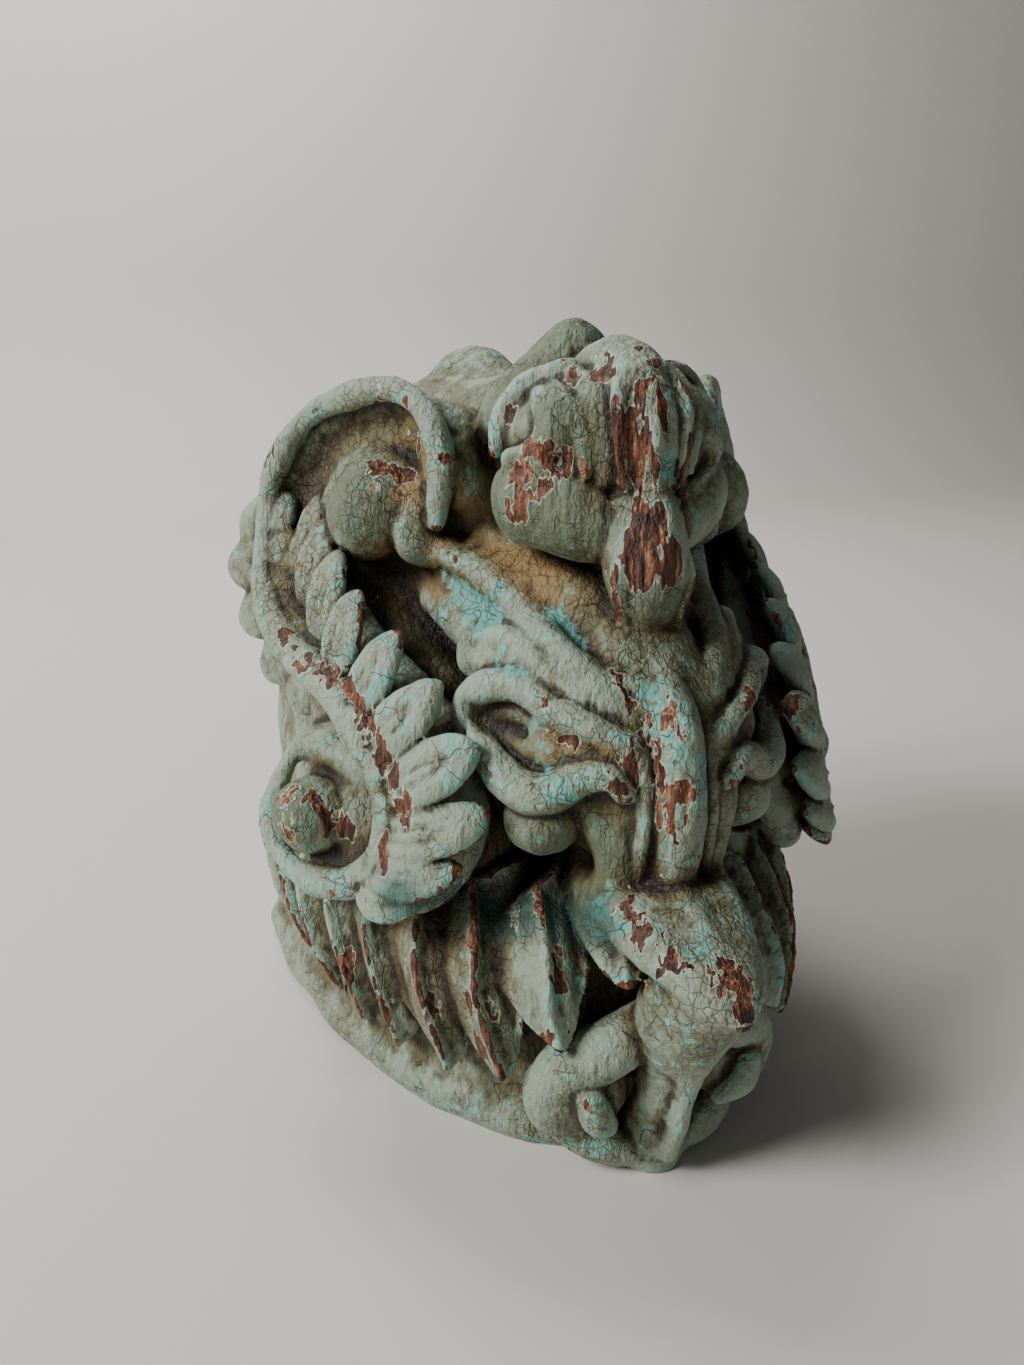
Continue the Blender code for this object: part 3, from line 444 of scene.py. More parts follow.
def band():
    """The rounded band down the front: a bead between two narrow ones, over pale side fasciae."""
    line = [Vector(p) for p in (
        (0, -0.655, 0.69), (0, -0.712, 0.655), (0, -0.76, 0.605), (0, -0.782, 0.54), (0, -0.782, 0.47),
        (0, -0.765, 0.39))]
    forward = Vector((0, 1, 0))
    member(((0, -0.6, 0.65), (0, -0.665, 0.6), (0, -0.68, 0.5), (0, -0.66, 0.4)), (0.12, 0.17, 0.18, 0.16),
           0.02)
    member([p + Vector((0, 0.034, 0)) for p in line], [0.15 * w for w in (0.8, 1, 1, 1.06, 1.1, 1.1)], 0.012,
           0.42, forward)
    member([p - Vector((0, 0.003, 0)) for p in line], [0.06 * w for w in (0.8, 1, 1, 1, 1, 0.95)], 0.002)
    member([p + Vector((-0.042, 0.006, 0)) for p in line], [0.023 * w for w in (0.8, 1, 1, 1, 1, 0.95)],
           0.002)


def leaf_middle():
    """The great leaf's middle lobe with its worn tip, the stem below it and the hooks beside."""
    over = Vector((0, -0.35, 0.94)).normalized()
    member(((0, -0.56, 0.36), (0, -0.68, 0.382), (0, -0.8, 0.372), (0, -0.885, 0.348), (0, -0.934, 0.325)),
           (0.18, 0.2, 0.17, 0.105, 0.036), 0.012, 0.5, over)
    # flutes along the top of the lobe: a keel down the middle and a raised edge on each side
    member(((0, -0.68, 0.425), (0, -0.8, 0.406), (0, -0.885, 0.37), (0, -0.93, 0.336)),
           (0.03, 0.034, 0.03, 0.02), 0.012)
    member(((-0.06, -0.66, 0.415), (-0.062, -0.76, 0.4), (-0.05, -0.84, 0.375), (-0.026, -0.905, 0.342)),
           (0.03, 0.036, 0.034, 0.02), 0.01)
    member(((0, -0.885, 0.328), (0, -0.835, 0.27), (0, -0.797, 0.18), (0, -0.765, 0.06), (0, -0.745, -0.03)),
           (0.1, 0.125, 0.09, 0.084, 0.09), 0.015)
    member(((0, -0.9, 0.31), (0, -0.868, 0.24), (0, -0.838, 0.15), (0, -0.805, 0.04)),
           (0.02, 0.03, 0.026, 0.02), 0.016)
    member(((-0.03, -0.785, 0.225), (-0.08, -0.786, 0.208), (-0.118, -0.766, 0.182), (-0.142, -0.748, 0.14),
            (-0.138, -0.742, 0.098), (-0.112, -0.748, 0.078)), (0.06, 0.072, 0.07, 0.064, 0.058, 0.04), 0.006)
    boss((-0.092, -0.748, 0.138), (0.12, 0.09, 0.12), 0.01)
    member(((-0.112, -0.8, 0.15), (-0.1, -0.798, 0.118), (-0.08, -0.785, 0.092)), (0.03, 0.036, 0.024), 0.006)
    gouge(((-0.094, -0.838, 0.18), (-0.078, -0.825, 0.165), (-0.066, -0.81, 0.125)), (0.022, 0.028, 0.024),
          0.008)
    member(((-0.13, -0.712, 0.066), (-0.105, -0.732, 0.055), (-0.075, -0.75, 0.04), (-0.03, -0.755, 0.025)),
           (0.032, 0.055, 0.06, 0.06), 0.008)


def skin(field, axes):
    """The surface where the distance is zero, as corner points and four-sided facets."""
    inside = field < 0
    count = np.zeros([n - 1 for n in field.shape], np.int8)
    corners = [(i, j, k) for i in (0, 1) for j in (0, 1) for k in (0, 1)]
    for i, j, k in corners:
        count += inside[i:i + count.shape[0], j:j + count.shape[1], k:k + count.shape[2]]
    cells = np.argwhere((count > 0) & (count < 8))
    values = {c: field[cells[:, 0] + c[0], cells[:, 1] + c[1], cells[:, 2] + c[2]] for c in corners}
    total = np.zeros((len(cells), 3), np.float32)
    crossings = np.zeros(len(cells), np.float32)
    for a in corners:
        for axis in range(3):
            if a[axis]:
                continue
            b = tuple(1 if n == axis else a[n] for n in range(3))
            crossed = (values[a] < 0) != (values[b] < 0)
            gap = np.where(crossed, values[a] - values[b], 1)
            t = np.where(crossed, values[a] / gap, 0)
            for n in range(3):
                total[:, n] += np.where(crossed, t if n == axis else a[n], 0)
            crossings += crossed
    spots = cells + total / crossings[:, None]
    points = np.stack([np.interp(spots[:, n], np.arange(len(axes[n])), axes[n]) for n in range(3)], 1)
    number = np.full(count.shape, -1, np.int32)
    number[cells[:, 0], cells[:, 1], cells[:, 2]] = np.arange(len(cells))
    facets = []
    for axis in range(3):
        u, v = [(1, 2), (2, 0), (0, 1)][axis]
        low = [slice(None)] * 3
        high = [slice(None)] * 3
        low[axis], high[axis] = slice(0, -1), slice(1, None)
        for side in (u, v):
            low[side] = high[side] = slice(1, -1)
        first, last = inside[tuple(low)], inside[tuple(high)]
        for outward in (True, False):
            edges = np.argwhere((first & ~last) if outward else (~first & last))
            edges[:, u] += 1
            edges[:, v] += 1
            ring = []
            for du, dv in ((-1, -1), (0, -1), (0, 0), (-1, 0)):
                cell = edges.copy()
                cell[:, u] += du
                cell[:, v] += dv
                ring.append(number[cell[:, 0], cell[:, 1], cell[:, 2]])
            ring = np.stack(ring, 1)
            facets.append(ring if outward else ring[:, ::-1])
    return points, np.concatenate(facets)


def block_mesh(name, points, facets):
    """A mesh of the given points and four-sided facets."""
    mesh = bpy.data.meshes.new(name)
    mesh.vertices.add(len(points))
    mesh.vertices.foreach_set("co", points.astype(np.float32).ravel())
    mesh.loops.add(facets.size)
    mesh.loops.foreach_set("vertex_index", facets.astype(np.int32).ravel())
    mesh.polygons.add(len(facets))
    mesh.polygons.foreach_set("loop_start", np.arange(0, facets.size, 4, dtype=np.int32))
    mesh.update(calc_edges=True)
    return mesh


def thinned(mesh, facets):
    """The mesh brought down to about the given number of triangles."""
    rough = bpy.data.objects.new("rough_block", mesh)
    bpy.context.scene.collection.objects.link(rough)
    thin = rough.modifiers.new("thinned", "DECIMATE")
    thin.ratio = min(1.0, facets / (2 * len(mesh.polygons)))
    bpy.context.view_layer.update()
    done = bpy.data.meshes.new_from_object(rough.evaluated_get(bpy.context.evaluated_depsgraph_get()))
    bpy.data.objects.remove(rough)
    return done


trunk()
foot()
great_leaf()
leaf_middle()
scroll()
leaflets()
ribbons()
head()
band()

# Lines along which the paint has worn or chipped down to the wood, each with its half-width
BARE = (
    (0.015, ((-0.02, -0.682, 0.976), (-0.025, -0.692, 0.94), (-0.024, -0.695, 0.909),
            (-0.019, -0.696, 0.889))),
    (0.008, ((0.01, -0.686, 0.977), (0.008, -0.695, 0.952), (0.013, -0.696, 0.931))),
    (0.024, ((-0.02, -0.716, 0.837), (-0.022, -0.722, 0.814), (-0.023, -0.724, 0.783))),
    (0.015, ((0.004, -0.729, 0.798), (0.008, -0.729, 0.771))),
    (0.007, ((-0.037, -0.631, 1.011), (-0.039, -0.646, 0.996))),
    (0.006, ((0.0, -0.648, 1.021),)),
    (0.007, ((-0.132, -0.566, 0.957), (-0.131, -0.566, 0.951))),
    (0.01, ((-0.126, -0.622, 0.921), (-0.112, -0.638, 0.907), (-0.092, -0.64, 0.896))),
    (0.006, ((-0.069, -0.619, 0.993), (-0.059, -0.635, 0.988))),
    (0.012, ((-0.134, -0.617, 0.882), (-0.13, -0.63, 0.865))),
    (0.007, ((-0.112, -0.64, 0.87),)),
    (0.009, ((-0.144, -0.619, 0.85), (-0.138, -0.621, 0.831))),
    (0.008, ((-0.047, -0.748, 0.642), (-0.04, -0.764, 0.613), (-0.033, -0.778, 0.58),
            (-0.028, -0.793, 0.545))),
    (0.005, ((-0.025, -0.802, 0.542), (-0.023, -0.806, 0.524), (-0.021, -0.808, 0.5))),
    (0.006, ((-0.062, -0.73, 0.662),)),
    (0.006, ((-0.124, -0.725, 0.591), (-0.114, -0.737, 0.592))),
    (0.007, ((-0.069, -0.776, 0.582), (-0.06, -0.78, 0.562))),
    (0.007, ((-0.077, -0.79, 0.552),)),
    (0.009, ((-0.018, -0.775, 0.629), (-0.009, -0.783, 0.626), (-0.007, -0.792, 0.612))),
    (0.008, ((-0.01, -0.811, 0.552), (-0.01, -0.814, 0.535))),
    (0.006, ((-0.008, -0.816, 0.521), (-0.008, -0.816, 0.507))),
    (0.006, ((-0.372, -0.245, 0.89), (-0.369, -0.251, 0.876))),
    (0.007, ((-0.394, -0.366, 0.67), (-0.387, -0.399, 0.657))),
    (0.009, ((-0.385, -0.423, 0.647), (-0.357, -0.474, 0.633), (-0.331, -0.533, 0.615))),
    (0.009, ((-0.335, -0.522, 0.622), (-0.323, -0.553, 0.603))),
    (0.011, ((-0.316, -0.574, 0.587), (-0.306, -0.609, 0.553), (-0.299, -0.644, 0.516))),
    (0.008, ((-0.3, -0.639, 0.518), (-0.294, -0.652, 0.493), (-0.296, -0.662, 0.475))),
    (0.006, ((-0.313, -0.632, 0.457), (-0.32, -0.642, 0.426))),
    (0.006, ((-0.347, -0.601, 0.38),)),
    (0.012, ((-0.263, -0.412, 0.881), (-0.244, -0.423, 0.876), (-0.227, -0.43, 0.866))),
    (0.004, ((-0.202, -0.411, 0.916), (-0.202, -0.418, 0.897))),
    (0.009, ((-0.411, -0.496, 0.473), (-0.412, -0.517, 0.426))),
    (0.012, ((-0.38, -0.517, 0.47), (-0.36, -0.528, 0.438), (-0.346, -0.531, 0.426))),
    (0.015, ((0.002, -0.905, 0.379), (0.002, -0.928, 0.36), (0.006, -0.944, 0.337))),
    (0.01, ((-0.066, -0.79, 0.4), (-0.058, -0.845, 0.38), (-0.044, -0.88, 0.362))),
    (0.01, ((-0.143, -0.757, 0.327), (-0.138, -0.774, 0.302))),
    (0.01, ((-0.171, -0.78, 0.225), (-0.156, -0.788, 0.242))),
    (0.005, ((-0.19, -0.754, 0.272), (-0.188, -0.761, 0.255))),
    (0.01, ((-0.233, -0.704, 0.259), (-0.213, -0.712, 0.234), (-0.216, -0.71, 0.187),
            (-0.23, -0.697, 0.155))),
    (0.008, ((-0.28, -0.617, 0.253), (-0.271, -0.651, 0.239), (-0.27, -0.653, 0.196))),
    (0.008, ((-0.313, -0.583, 0.283), (-0.312, -0.593, 0.234), (-0.31, -0.583, 0.154))),
    (0.007, ((-0.339, -0.48, 0.241), (-0.341, -0.471, 0.16))),
)

# Lines where the paint has gone ochre
OCHRE = (
    (0.014, ((-0.146, -0.701, 0.58), (-0.118, -0.733, 0.582), (-0.087, -0.764, 0.585))),
    (0.045, ((-0.255, -0.41, 0.76), (-0.21, -0.429, 0.74), (-0.168, -0.49, 0.745))),
    (0.05, ((-0.19, -0.42, 0.86), (-0.15, -0.52, 0.8), (-0.09, -0.6, 0.74))),
    (0.01, ((-0.195, -0.478, 0.767), (-0.162, -0.543, 0.76), (-0.147, -0.576, 0.74))),
)

# Places painted a darker olive: the pods, the bulb, the ball and the tongue; partly the paint's own colour,
# partly painted shade
OLIVE = (
    (0.075, ((-0.302, -0.414, 0.843),)),
    (0.06, ((-0.412, -0.503, 0.449),)),
    (0.062, ((-0.14, -0.6, 0.855), (-0.07, -0.66, 0.835))),
    (0.05, ((-0.115, -0.64, 0.94), (-0.08, -0.66, 0.93))),
    (0.056, ((-0.128, -0.73, 0.48),)),
    (0.045, ((0.0, -0.72, 0.74), (0.0, -0.7, 0.7))),
    (0.06, ((0.0, -0.45, 1.04), (-0.09, -0.48, 0.96))),
    (0.07, ((-0.07, -0.72, 0.46), (-0.06, -0.72, 0.42))),
)

# Lines where it has stayed turquoise
TURQUOISE = (
    (0.017, ((-0.1, -0.625, 0.716), (-0.085, -0.639, 0.701), (-0.073, -0.656, 0.687))),
    (0.018, ((-0.189, -0.454, 0.733), (-0.166, -0.514, 0.716), (-0.149, -0.582, 0.697))),
    (0.012, ((0.012, -0.697, 0.921), (0.009, -0.7, 0.904))),
    (0.008, ((0.02, -0.721, 0.821), (0.022, -0.725, 0.792))),
    (0.012, ((-0.167, -0.634, 0.668), (-0.158, -0.677, 0.654), (-0.139, -0.712, 0.552),
            (-0.139, -0.759, 0.545))),
    (0.01, ((-0.021, -0.754, 0.65), (-0.008, -0.772, 0.642), (-0.013, -0.799, 0.591))),
    (0.005, ((-0.142, -0.739, 0.475),)),
    (0.016, ((-0.088, -0.764, 0.392), (-0.079, -0.801, 0.391))),
    (0.014, ((-0.004, -0.866, 0.398), (-0.007, -0.894, 0.383), (-0.145, -0.782, 0.286))),
    (0.011, ((-0.051, -0.896, 0.356), (-0.047, -0.911, 0.343))),
)

# The dark teal hollow at the leaf's throat
TEAL = (
    (0.032, ((-0.31, -0.679, 0.396), (-0.213, -0.648, 0.355), (-0.146, -0.716, 0.368),
            (-0.091, -0.773, 0.375))),
)


def uneven(step, seed):
    """Smooth random unevenness over the whole grid, between -1 and 1, about one step across."""
    dice = np.random.default_rng(seed)
    spreads = []
    for axis in whole_axes:
        spot = (axis - axis[0]) / step
        low = np.floor(spot).astype(int)
        t = spot - low
        t = t * t * (3 - 2 * t)
        spread = np.zeros((len(axis), low[-1] + 2), np.float32)
        spread[np.arange(len(axis)), low] = 1 - t
        spread[np.arange(len(axis)), low + 1] = t
        spreads.append(spread)
    lattice = dice.uniform(-1, 1, [spread.shape[1] for spread in spreads]).astype(np.float32)
    for spread in spreads:
        lattice = np.tensordot(lattice, spread, (0, 1))
    return lattice


def inside_lines(points, lines):
    """How deep each point lies inside the nearest of some lines of a given half-width, in modules."""
    depth = np.full(len(points), -DEEP, np.float32)
    for half, line in lines:
        for a, b in zip(line, line[1:] or line):
            a, b = np.array(a), np.array(b)
            way = b - a
            t = np.clip((points - a) @ way / max(way @ way, 0.000001), 0, 1)
            np.maximum(depth, half - np.linalg.norm(points - a - t[:, None] * way, axis=1), out=depth)
    return depth


def share_of_wood(reach):
    """The share of wood in a cube round each place of the grid, which tells edges from hollows."""
    share = np.clip(0.5 - whole / GRAIN, 0, 1)
    steps = int(round(reach / GRAIN))
    for _ in range(3):
        padded = np.pad(share, ((steps + 1, steps), (0, 0), (0, 0)), mode="edge")
        total = np.cumsum(padded, axis=0, dtype=np.float64)
        share = ((total[2 * steps + 1:] - total[:-2 * steps - 1]) / (2 * steps + 1)).astype(np.float32)
        share = share.transpose(1, 2, 0)
    return share


def at_points(field, points):
    """The grid's values at some points, blended from the eight places round each."""
    spots = [(points[:, n] - axis[0]) / GRAIN for n, axis in enumerate(whole_axes)]
    low = [np.clip(spot.astype(int), 0, field.shape[n] - 2) for n, spot in enumerate(spots)]
    part = [spot - first for spot, first in zip(spots, low)]
    value = np.zeros(len(points))
    for i in (0, 1):
        for j in (0, 1):
            for k in (0, 1):
                weight = (part[0] if i else 1 - part[0]) * (part[1] if j else 1 - part[1])
                weight = weight * (part[2] if k else 1 - part[2])
                value += weight * field[low[0] + i, low[1] + j, low[2] + k]
    return value


whole = np.concatenate([wood, wood[::-1]])
whole_axes = (np.concatenate([across_x, -across_x[::-1]]), along_y, up_z)
# the hand of the carver and of the painter: nothing is quite even
for step, height, seed in HAND:
    whole += height * uneven(step, seed)
# the paint's thickness is missing on the bare places
near = np.argwhere(np.abs(whole) < 4 * GRAIN)
spots = np.stack([axis[near[:, n]] for n, axis in enumerate(whole_axes)], 1)
ragged = RAGGED * uneven(0.02, 11)[near[:, 0], near[:, 1], near[:, 2]]
chipped = np.clip((inside_lines(spots, BARE) + ragged) / BEVEL, 0, 1)
whole[near[:, 0], near[:, 1], near[:, 2]] += PAINT * chipped
whole = np.maximum(whole, along_y[None, :, None])
whole = np.maximum(whole, -up_z[None, None, :])
points, facets = skin(whole, whole_axes)
points = points * MODULE - np.array((0, 0, FOOT_TO_MOUNT))
carving = thinned(block_mesh("corbel_carving", points, facets), FACETS)
carving.shade_smooth()
corbel = bpy.data.objects.new("corbel_carving", carving)
bpy.context.scene.collection.objects.link(corbel)

# What the paint needs to know at each point: depths inside the worn places in millimetres, and
# how far the point stands out or lies sheltered
spots = np.zeros(len(carving.vertices) * 3, np.float32)
carving.vertices.foreach_get("co", spots)
spots = (spots.reshape(-1, 3) + np.array((0, 0, FOOT_TO_MOUNT))) / MODULE
fields = {name: np.clip(inside_lines(spots, lines) * MODULE * 1000, -12, 12)
          for name, lines in (("bare", BARE), ("ochre", OCHRE), ("turquoise", TURQUOISE), ("teal", TEAL),
                            ("darker", OLIVE))}
fields["edge"] = 0.5 - at_points(share_of_wood(0.01), spots)
fields["hollow"] = at_points(share_of_wood(0.028), spots) - 0.5
fields["shelter"] = at_points(share_of_wood(0.075), spots) - 0.5
for name, values in fields.items():
    carving.attributes.new(name, "FLOAT", "POINT").data.foreach_set("value", values.astype(np.float32))


def hex_colour(code):
    """An sRGB hex colour as the linear colour that the shader works with."""
    parts = [int(code[k:k + 2], 16) / 255 for k in (1, 3, 5)]
    return [c / 12.92 if c <= 0.04045 else ((c + 0.055) / 1.055) ** 2.4 for c in parts] + [1]


def node(tree, kind, settings=None, links=None):
    """Adds one shader node with its settings, and links its inputs."""
    made = tree.nodes.new(kind)
    for key, value in (settings or {}).items():
        if isinstance(key, str) and key not in made.inputs:
            setattr(made, key, value)
        else:
            made.inputs[key].default_value = value
    for key, source in (links or {}).items():
        tree.links.new(source, made.inputs[key])
    return made


def weighted(tree, start, terms):
    """The sum of a start and some sources, each times its weight."""
    settings, links = {2: start}, {}
    for source, weight in terms:
        made = node(tree, "ShaderNodeMath", {"operation": "MULTIPLY_ADD", 1: weight, **settings},
                    {0: source, **links})
        settings, links = {}, {2: made.outputs[0]}
    return made.outputs[0]


def verdigris_paint():
    """Old paint over carved softwood: pale grey-green with turquoise highlights, olive and ochre in the
    hollows, crackled, and chipped through to red-brown wood with pale rims to the chips. Its hollows,
    sheltered places and creases are darkened partly with painted shade, and its edges lightened partly with
    painted highlight."""
    material = bpy.data.materials.new("verdigris_paint_over_wood")
    material.use_nodes = True
    tree = material.node_tree
    shader = tree.nodes["Principled BSDF"]
    place = node(tree, "ShaderNodeTexCoord").outputs["Object"]
    field = {name: node(tree, "ShaderNodeAttribute", {"attribute_name": name}).outputs["Fac"]
             for name in fields}
    # unevenness of several sizes, in features per metre: 45 mm, 14 mm, 4 mm and 0.8 mm across
    cloud = {name: node(tree, "ShaderNodeTexNoise", {"Scale": scale, "Detail": detail, "Roughness": rough},
                        {"Vector": place}).outputs["Fac"]
             for name, scale, detail, rough in (("drift", 22, 3, 0.5), ("patch", 70, 4, 0.55),
                                                ("flake", 240, 4, 0.6), ("grit", 1300, 3, 0.6))}
    # the grain of the wood runs up the block, in streaks about 1.2 mm wide
    along = node(tree, "ShaderNodeMapping", {"Scale": (1, 1, 0.1)}, {"Vector": place}).outputs["Vector"]
    cloud["streak"] = node(tree, "ShaderNodeTexNoise", {"Scale": 800, "Detail": 4, "Roughness": 0.6},
                           {"Vector": along}).outputs["Fac"]
    # chips split along that grain, about 4 mm across and 10 mm long, and so do the strokes of the brush
    upright = node(tree, "ShaderNodeMapping", {"Scale": (1, 1, 0.4)}, {"Vector": place}).outputs["Vector"]
    for name, scale, detail in (("chip", 260, 2), ("brush", 420, 3)):
        cloud[name] = node(tree, "ShaderNodeTexNoise", {"Scale": scale, "Detail": detail, "Roughness": 0.55},
                           {"Vector": upright}).outputs["Fac"]
    # crackle: wandering cells of about 4 mm, and cracks of about 12 mm, drawn a little coarser than real
    wander = node(tree, "ShaderNodeTexNoise", {"Scale": 200, "Detail": 2}, {"Vector": place}).outputs["Color"]
    bent = node(tree, "ShaderNodeVectorMath", {"operation": "MULTIPLY_ADD", 1: (0.005, 0.005, 0.005)},
                {0: wander, 2: place}).outputs["Vector"]
    for name, scale in (("crackle", 250), ("crack", 80)):
        cloud[name] = node(tree, "ShaderNodeTexVoronoi", {"feature": "DISTANCE_TO_EDGE", "Scale": scale},
                           {"Vector": bent}).outputs["Distance"]
    # each layer shows where a weighted sum passes from the low to the high number; a noise is 0.5 on
    # average, so a start of minus half the noises' weights leaves the fields to decide
    chip = ((field["bare"], 1.0), (cloud["chip"], 16))
    rub = ((field["edge"], 75), (cloud["patch"], 36), (cloud["chip"], 24), (cloud["drift"], 24))
    shows = {}
    for name, start, terms, low, high in (
            # the mottle darkens the base towards the hollows and lightens it on the edges, and the stain
            # darkens towards the hollows: partly wear and dirt, partly painted shade and painted highlight
            ("mottle", -14.5, ((cloud["patch"], 22), (cloud["brush"], 7), (field["edge"], -10),
                               (field["hollow"], 12)), -2.0, 2.8),
            ("stain", -27.0, ((cloud["brush"], 34), (cloud["patch"], 20), (field["hollow"], 18)), 0.0, 6.0),
            ("fleck", -34.0, ((cloud["grit"], 44), (cloud["flake"], 24)), 2.5, 6.0),
            ("tan", -26.0, ((cloud["drift"], 22), (cloud["patch"], 20), (cloud["brush"], 10)), -2.5, 3.0),
            # darker olive on the places listed: partly the paint's colour, partly painted shade
            ("darker", -8.0, ((field["darker"], 0.7), (cloud["patch"], 10), (cloud["brush"], 6)), -1.0, 4.0),
            # pale turquoise on the raised edges: partly paint, partly painted highlight
            ("bright", -29.0, ((cloud["patch"], 30), (cloud["flake"], 28), (field["edge"], 46)), 4.2, 6.8),
            ("turquoise", -26.0, ((field["turquoise"], 0.9), (cloud["patch"], 32), (cloud["flake"], 20)),
             -0.5, 3.0),
            ("ochre", -22.0, ((field["ochre"], 0.6), (field["hollow"], 24), (cloud["drift"], 22),
                              (cloud["patch"], 14), (cloud["brush"], 8)), -1.5, 4.5),
            # olive in the hollows and sheltered places: partly an olive glaze, partly painted shade
            ("olive", -8.0, ((field["hollow"], 26), (field["shelter"], 18), (cloud["patch"], 10),
                             (cloud["brush"], 6)), -2.0, 3.0),
            # near-black brown in the hollows and sheltered places: partly dirt, partly painted shade
            ("grime_and_shade", -6.0, ((field["hollow"], 26), (field["shelter"], 22), (cloud["patch"], 8),
                             (cloud["brush"], 4)), 2.2, 8.5),
            # near-black lines in the creases: painted shade
            ("crease_shade", -4.0, ((field["edge"], -60), (cloud["flake"], 8)), 1.0, 5.0),
            ("teal", -5.0, ((field["teal"], 1.0), (cloud["patch"], 10)), -4.0, 4.0),
            # paler along the edges: partly rubbed paint, partly painted highlight
            ("rubbed_and_highlit", -10.0, ((field["edge"], 36), (cloud["brush"], 12), (cloud["patch"], 8)), 1.0, 4.5),
            ("crackle", 0.0, ((cloud["crackle"], 1.0),), 0.06, 0.0),
            ("crack", 0.0, ((cloud["crack"], 1.0),), 0.016, 0.0),
            ("crazed", 0.0, ((cloud["drift"], 1.0), (cloud["patch"], 0.5)), 0.69, 0.8),
            ("split", 0.0, ((cloud["patch"], 1.0),), 0.46, 0.56),
            ("worn_rim", -8.0, chip, -0.7, -0.4),
            ("worn", -8.0, chip, 0.0, 0.2),
            ("edge_rim", -42.0, rub, 12.6, 13.0),
            ("edge_worn", -42.0, rub, 13.7, 13.9)):
        shows[name] = node(tree, "ShaderNodeMapRange", {"From Min": low, "From Max": high},
                           {"Value": weighted(tree, start, terms)}).outputs[0]
    for name, one, other in (("rim", "worn_rim", "edge_rim"), ("wood", "worn", "edge_worn")):
        shows[name] = node(tree, "ShaderNodeMath", {"operation": "MAXIMUM"},
                           {0: shows[one], 1: shows[other]}).outputs[0]
    for line, zone in (("crackle", "crazed"), ("crack", "split")):
        shows[line] = node(tree, "ShaderNodeMath", {"operation": "MULTIPLY"},
                           {0: shows[line], 1: shows[zone]}).outputs[0]
    # softwood under the paint: dark in the grain, orange to pinkish where it was rubbed
    tone = node(tree, "ShaderNodeMath", {"operation": "MULTIPLY_ADD", 1: 0.5},
                {0: cloud["patch"], 2: cloud["streak"]})
    timber = node(tree, "ShaderNodeValToRGB", {}, {"Fac": tone.outputs[0]})
    stops = timber.color_ramp.elements
    stops[0].position, stops[0].color = 0.58, hex_colour("#1f120e")
    stops[1].position, stops[1].color = 0.96, hex_colour("#b07f63")
    for position, code in ((0.72, "#4a281b"), (0.84, "#7c4a2e")):
        stops.new(position).color = hex_colour(code)
    # the paint, coat over coat: each colour, how strongly it covers, and where it shows
    # base colour, pale grey-green to darker olive by the mottle, so paler on edges and darker in hollows:
    # partly paint, partly painted shade and highlight
    colour = node(tree, "ShaderNodeMix",
                  {"data_type": "RGBA", 6: hex_colour("#8d9b88"), 7: hex_colour("#5d644a")},
                  {0: shows["mottle"]}).outputs[2]
    for name, code, strength in (
            ("tan", "#77704f", 0.7), ("stain", "#57513a", 0.7), ("fleck", "#b4c4b4", 0.35),
            # paler on the edges: partly rubbed paint, partly painted highlight; the darker olive: partly
            # paint, partly painted shade
            ("rubbed_and_highlit", "#a8b8a5", 0.45), ("bright", "#7fb9aa", 0.75), ("darker", "#565c3e", 0.75),
            # the near-black brown and the olive of the hollows are partly dirt and glaze, partly painted shade
            ("olive", "#665c34", 0.85), ("ochre", "#8d6d3a", 0.75), ("grime_and_shade", "#2a1c11", 0.93),
            # the near-black lines in the creases are painted shade
            ("crease_shade", "#1f160e", 0.85), ("turquoise", "#6fb5a7", 0.85), ("teal", "#1f4f49", 0.75),
            ("crackle", "#3a3627", 0.6), ("crack", "#28241b", 0.8), ("rim", "#b9bda6", 0.85),
            ("wood", None, 1.0)):
        share = node(tree, "ShaderNodeMath", {"operation": "MULTIPLY", 1: strength},
                     {0: shows[name]}).outputs[0]
        settings = {"data_type": "RGBA"}
        links = {0: share, 6: colour}
        if code:
            settings[7] = hex_colour(code)
        else:
            links[7] = timber.outputs["Color"]
        colour = node(tree, "ShaderNodeMix", settings, links).outputs[2]
    tree.links.new(colour, shader.inputs["Base Color"])
    # matt chalky paint with a slight hand polish, and drier wood
    rough = node(tree, "ShaderNodeMapRange", {"From Min": 0.3, "From Max": 0.7, "To Min": 0.46,
                                              "To Max": 0.68},
                 {"Value": cloud["flake"]}).outputs[0]
    tree.links.new(rough, shader.inputs["Roughness"])
    # relief too fine for the carving, in parts of 0.5 mm: the paint's edge, cracks, brush marks and grit
    height = weighted(tree, 0.0, (
        (shows["wood"], -1.0), (shows["crackle"], -0.5), (shows["crack"], -0.7),
        (cloud["brush"], 3.4), (cloud["grit"], 0.6), (cloud["streak"], 0.9)))
    relief = node(tree, "ShaderNodeBump", {"Strength": 1.0, "Distance": RELIEF}, {"Height": height})
    tree.links.new(relief.outputs["Normal"], shader.inputs["Normal"])
    return material


carving.materials.append(verdigris_paint())
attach(corbel, "root")
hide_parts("corbel")

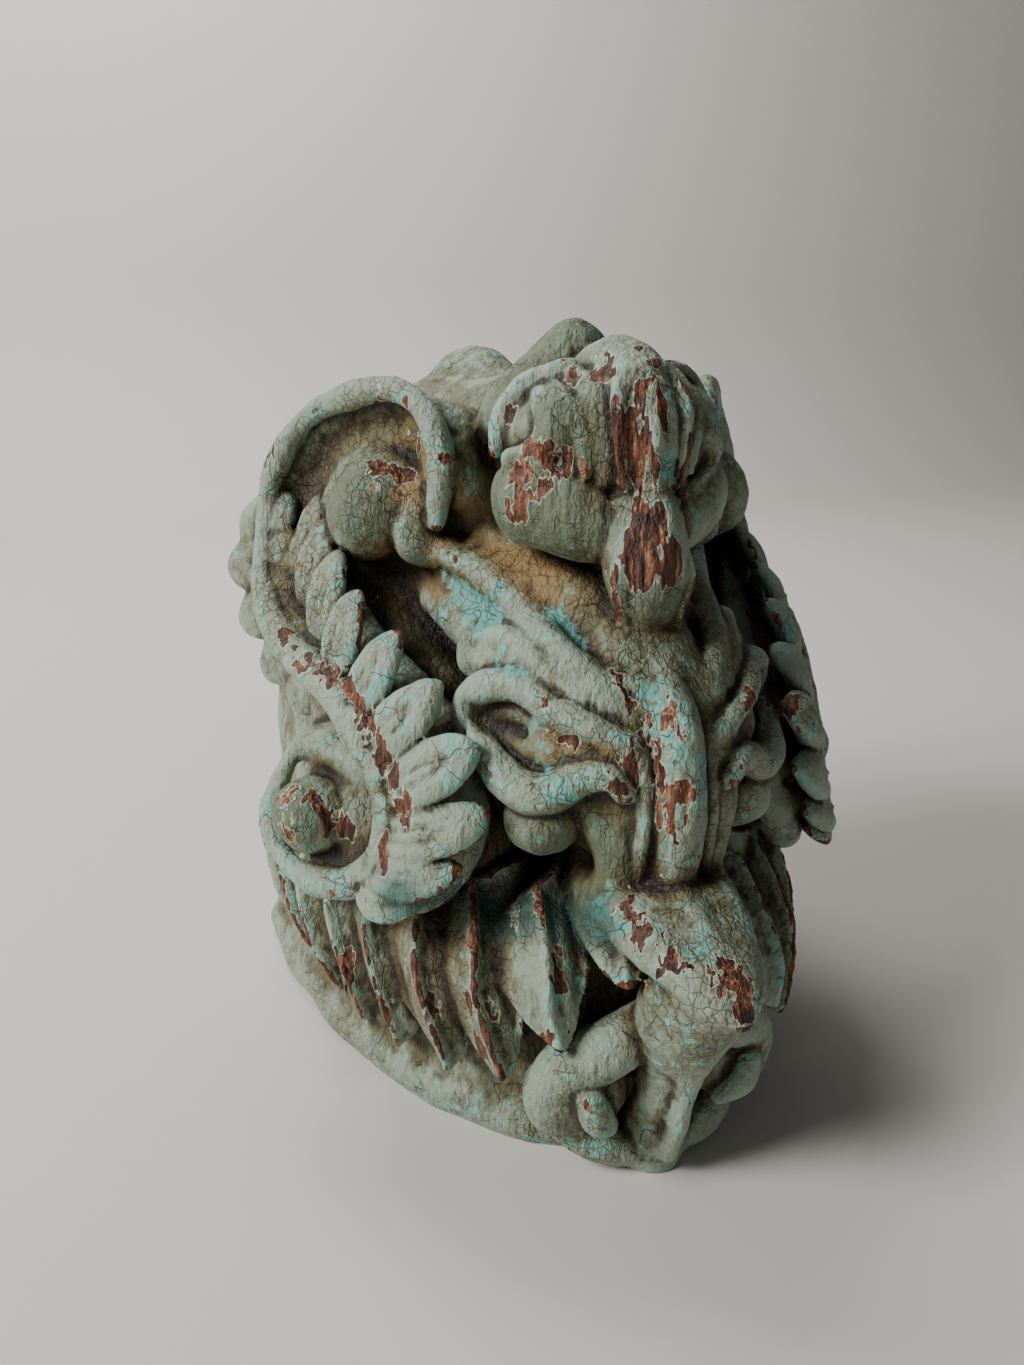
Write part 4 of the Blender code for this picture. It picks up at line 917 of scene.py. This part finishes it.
# A plain pale table top that sweeps up into a wall far behind, and soft light from the left
table = bpy.data.meshes.new("table_top")
sweep = [(-3.0, 0.0)] + [(1.2 + 0.4 * sin(radians(a)), 0.4 - 0.4 * cos(radians(a))) for a in range(0, 91, 10)]
sweep.append((1.6, 3.0))
table.from_pydata([(x, y, z - FOOT_TO_MOUNT) for y, z in sweep for x in (-3, 3)], [],
                  [(2 * k, 2 * k + 1, 2 * k + 3, 2 * k + 2) for k in range(len(sweep) - 1)])
table.shade_smooth()
table_top = bpy.data.objects.new("table_top", table)
bpy.context.scene.collection.objects.link(table_top)
plain = bpy.data.materials.new("pale_table")
plain.use_nodes = True
plain.node_tree.nodes["Principled BSDF"].inputs["Base Color"].default_value = hex_colour("#d6d1ca")
plain.node_tree.nodes["Principled BSDF"].inputs["Roughness"].default_value = 0.8
table.materials.append(plain)

for name, place, aim, size, power in (
        ("window_light", (-1.55, -0.32, 1.1), (0, -0.1, 0), 0.7, 44),
        ("room_light", (0.9, -1.5, 1.0), (0, -0.1, 0), 1.5, 0.8),
        ("wall_light", (-0.2, 0.7, 1.6), (0.3, 1.6, 0.3), 0.8, 26)):
    lamp = bpy.data.lights.new(name, "AREA")
    lamp.size = size
    lamp.energy = power
    light = bpy.data.objects.new(name, lamp)
    light.location = place
    light.rotation_euler = (Vector(aim) - Vector(place)).to_track_quat("-Z", "Y").to_euler()
    bpy.context.scene.collection.objects.link(light)
world = bpy.data.worlds.new("room")
world.use_nodes = True
world.node_tree.nodes["Background"].inputs["Color"].default_value = hex_colour("#dcdde0")
world.node_tree.nodes["Background"].inputs["Strength"].default_value = 0.09
bpy.context.scene.world = world

eye = bpy.data.cameras.new("photo_view")
eye.sensor_fit = "VERTICAL"
eye.sensor_height = 36
eye.lens = 27
camera = bpy.data.objects.new("photo_view", eye)
camera.location = (-0.1339, -0.42, 0.132)
look = Vector((0.342 * 0.956, 0.94 * 0.956, -0.292))
camera.rotation_euler = look.to_track_quat("-Z", "Y").to_euler()
bpy.context.scene.collection.objects.link(camera)
bpy.context.scene.camera = camera

bpy.context.view_layer.update()
